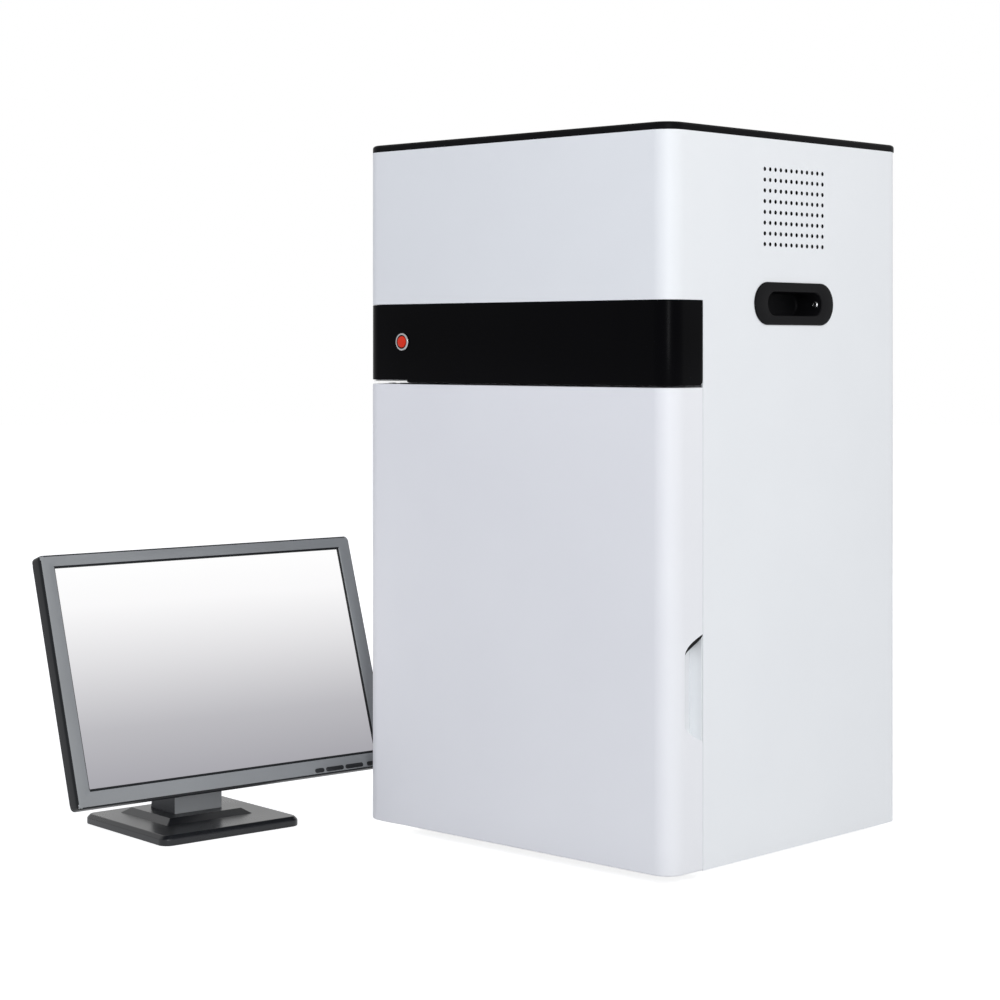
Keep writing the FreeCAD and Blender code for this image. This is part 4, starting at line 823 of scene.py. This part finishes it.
# Display cover: the tapered tub behind the panel, moulded in dark grey plastic with two ears that hold
# the tilt pin. The tub and the ears are lofts, and their edges are just broken.
cover_back = 0.0165
cover_taper = 0.040
cover_corner = 0.008
ear_gap = 0.0313
ear_thick = 0.008
knuckle_radius = 0.013
display_dark = surface("display_dark", (0.016, 0.018, 0.021), (0.024, 0.026, 0.030), (0.42, 0.52),
                       grain_mm=0.8, bump_mm=0.03, Specular_IOR_Level=0.35)
cover_profile = np.vstack([
    [(-0.0045, bezel_back), (-0.0020, bezel_back)],
    [(-0.0020, bezel_back - 0.0040)],
    [(-0.0026, bezel_back - 0.0052)],
    [(-cover_taper + 0.003, cover_back + 0.0018)],
    arc((-cover_taper - 0.003, cover_back + 0.004), 0.004, -40, -90, 4)])
cover_rings = rings(head_low, head_high, cover_corner, cover_profile, origin=pivot, frame_axes=head_axes)
ears = []
for sign in (-1, 1):
    ear_start = min(sign * ear_gap, sign * (ear_gap + ear_thick))
    ear_outline = np.vstack([[(cover_back + 0.004, -knuckle_radius)],
                             arc((0, 0), knuckle_radius, -90, -270, 14),
                             [(cover_back + 0.004, knuckle_radius)]])
    ear_side = ear_outline[:, 0][:, None] * -inward + ear_outline[:, 1][:, None] * upward
    ear_ring = np.stack([pivot + ear_start * across + ear_side,
                         pivot + (ear_start + ear_thick) * across + ear_side])
    ears.append(loft(ear_ring))
cover_mesh = closed_mesh("rear_tub", *joined(loft(cover_rings), *ears))
break_edges(settle("rear_tub", cover_mesh, display_dark, ["display_cover"]), 0.0006)


# Neck and base: a tapered column on a thin bevelled plate with a raised pad, moulded in dark grey. The
# column's front faces are painted a paler grey than its sides, as painted light.
neck_painted_light = surface("neck_painted_light", (0.46, 0.47, 0.475), (0.52, 0.53, 0.535), (0.40, 0.50),
                    grain_mm=0.7, bump_mm=0.015, Specular_IOR_Level=0.3)
neck = finished("display_neck", display_dark, edge=0.0012)
# The neck's front faces get a paler grey: painted light, with the sides left in the dark grey.
repaint(neck, neck_painted_light, faces_where(neck.data, lambda middle, normal: normal @ -inward > 0.75))
display_grey = surface("display_grey", (0.006, 0.007, 0.009), (0.010, 0.011, 0.014), (0.24, 0.34),
                       grain_mm=0.7, bump_mm=0.015, Specular_IOR_Level=0.40)
finished("display_base", display_grey, edge=0.0010)


# Everything inside and behind, which keeps its CAD shape: plated hinges, black chamber walls, the UV
# table, the camera with its filter wheel, the fan, the electronics and the rear connectors.
plated_steel = surface("plated_steel", (0.84, 0.84, 0.83), (0.92, 0.92, 0.91), (0.28, 0.42),
                       grain_mm=0.6, bump_mm=0.01, Metallic=1.0)
zinc_sheet = surface("zinc_sheet", (0.42, 0.43, 0.44), (0.55, 0.56, 0.57), (0.34, 0.50),
                     grain_mm=14.0, bump_mm=0.01, cloud_mm=40.0, Metallic=0.9)
frame_black = surface("frame_black", (0.010, 0.010, 0.010), (0.018, 0.018, 0.018), (0.55, 0.68),
                      grain_mm=0.6, bump_mm=0.03, Specular_IOR_Level=0.3)
liner_black = surface("liner_black", (0.012, 0.012, 0.013), (0.022, 0.022, 0.023), (0.50, 0.62),
                      grain_mm=0.9, bump_mm=0.03, Specular_IOR_Level=0.3)
soft_black = surface("soft_black", (0.016, 0.016, 0.016), (0.030, 0.030, 0.030), (0.75, 0.90),
                     grain_mm=1.6, bump_mm=0.12, Specular_IOR_Level=0.2)
anodised_black = surface("anodised_black", (0.018, 0.018, 0.020), (0.030, 0.030, 0.033), (0.30, 0.42),
                         grain_mm=0.3, bump_mm=0.008, Metallic=0.6)
cast_alloy = surface("cast_alloy", (0.30, 0.30, 0.31), (0.42, 0.42, 0.43), (0.35, 0.50),
                     grain_mm=0.8, bump_mm=0.03, Metallic=0.9)
pale_mould = surface("pale_mould", (0.78, 0.78, 0.75), (0.86, 0.86, 0.83), (0.35, 0.48),
                     grain_mm=0.9, bump_mm=0.02, Specular_IOR_Level=0.4)
case_grey = surface("case_grey", (0.20, 0.21, 0.23), (0.30, 0.31, 0.33), (0.45, 0.58),
                    grain_mm=1.0, bump_mm=0.05, Specular_IOR_Level=0.3)
board_green = surface("board_green", (0.010, 0.10, 0.04), (0.03, 0.20, 0.09), (0.25, 0.40),
                      grain_mm=3.0, bump_mm=0.03, cloud_mm=12.0, Specular_IOR_Level=0.5)
ferrite = surface("ferrite", (0.10, 0.10, 0.10), (0.20, 0.20, 0.20), (0.40, 0.60),
                  grain_mm=0.5, bump_mm=0.03, Metallic=0.4)
bush_nylon = surface("bush_nylon", (0.42, 0.42, 0.40), (0.52, 0.52, 0.50), (0.35, 0.45),
                     grain_mm=0.6, bump_mm=0.01, Specular_IOR_Level=0.4)
amber_glass = surface("amber_glass", (0.75, 0.30, 0.03), (0.85, 0.38, 0.05), (0.05, 0.10),
                      grain_mm=2.0, bump_mm=0.002, Transmission_Weight=0.8, IOR=1.5)
tube_glass = surface("tube_glass", (0.80, 0.82, 0.92), (0.86, 0.88, 0.95), (0.08, 0.16),
                     grain_mm=2.0, bump_mm=0.004, Transmission_Weight=0.4, IOR=1.5)
violet_glass = surface("violet_glass", (0.05, 0.025, 0.13), (0.09, 0.05, 0.20), (0.04, 0.10),
                       grain_mm=3.0, bump_mm=0.002, Transmission_Weight=0.3, IOR=1.5)
inner_finish = {
    "base_pan": zinc_sheet, "camera_deck": zinc_sheet,
    "wheel_bridge": zinc_sheet, "camera_bracket": zinc_sheet,
    "lower_hinge_plate": plated_steel, "upper_hinge_plate": plated_steel, "hinge_pins": plated_steel,
    "catch_strikes": plated_steel, "filter_shaft": plated_steel, "panel_screws": plated_steel,
    "front_frame": shell_white, "chamber_liner": frame_black, "door_liner": liner_black,
    "door_sensor": liner_black, "switch_block": liner_black, "mains_inlet": liner_black,
    "data_ports": liner_black, "power_switch": liner_black,
    "fan_frame": liner_black, "fan_rotor": liner_black,
    "rubber_feet": soft_black, "door_seal": soft_black, "focus_ring": soft_black,
    "catch_magnets": ferrite, "door_magnet": ferrite, "hinge_bushes": bush_nylon,
    "filter_wheel": anodised_black, "lens_barrel": anodised_black, "camera_body": anodised_black,
    "epi_lamps": anodised_black, "filter_motor": cast_alloy, "power_supply": cast_alloy,
    "epi_windows": pale_mould, "lamp_holders": pale_mould, "converter_plate": pale_mould,
    "uv_case": case_grey, "control_board": board_green, "filter_glasses": amber_glass,
    "uv_tubes": tube_glass, "uv_filter": violet_glass,
}
for node, material in inner_finish.items():
    finished(node, material)
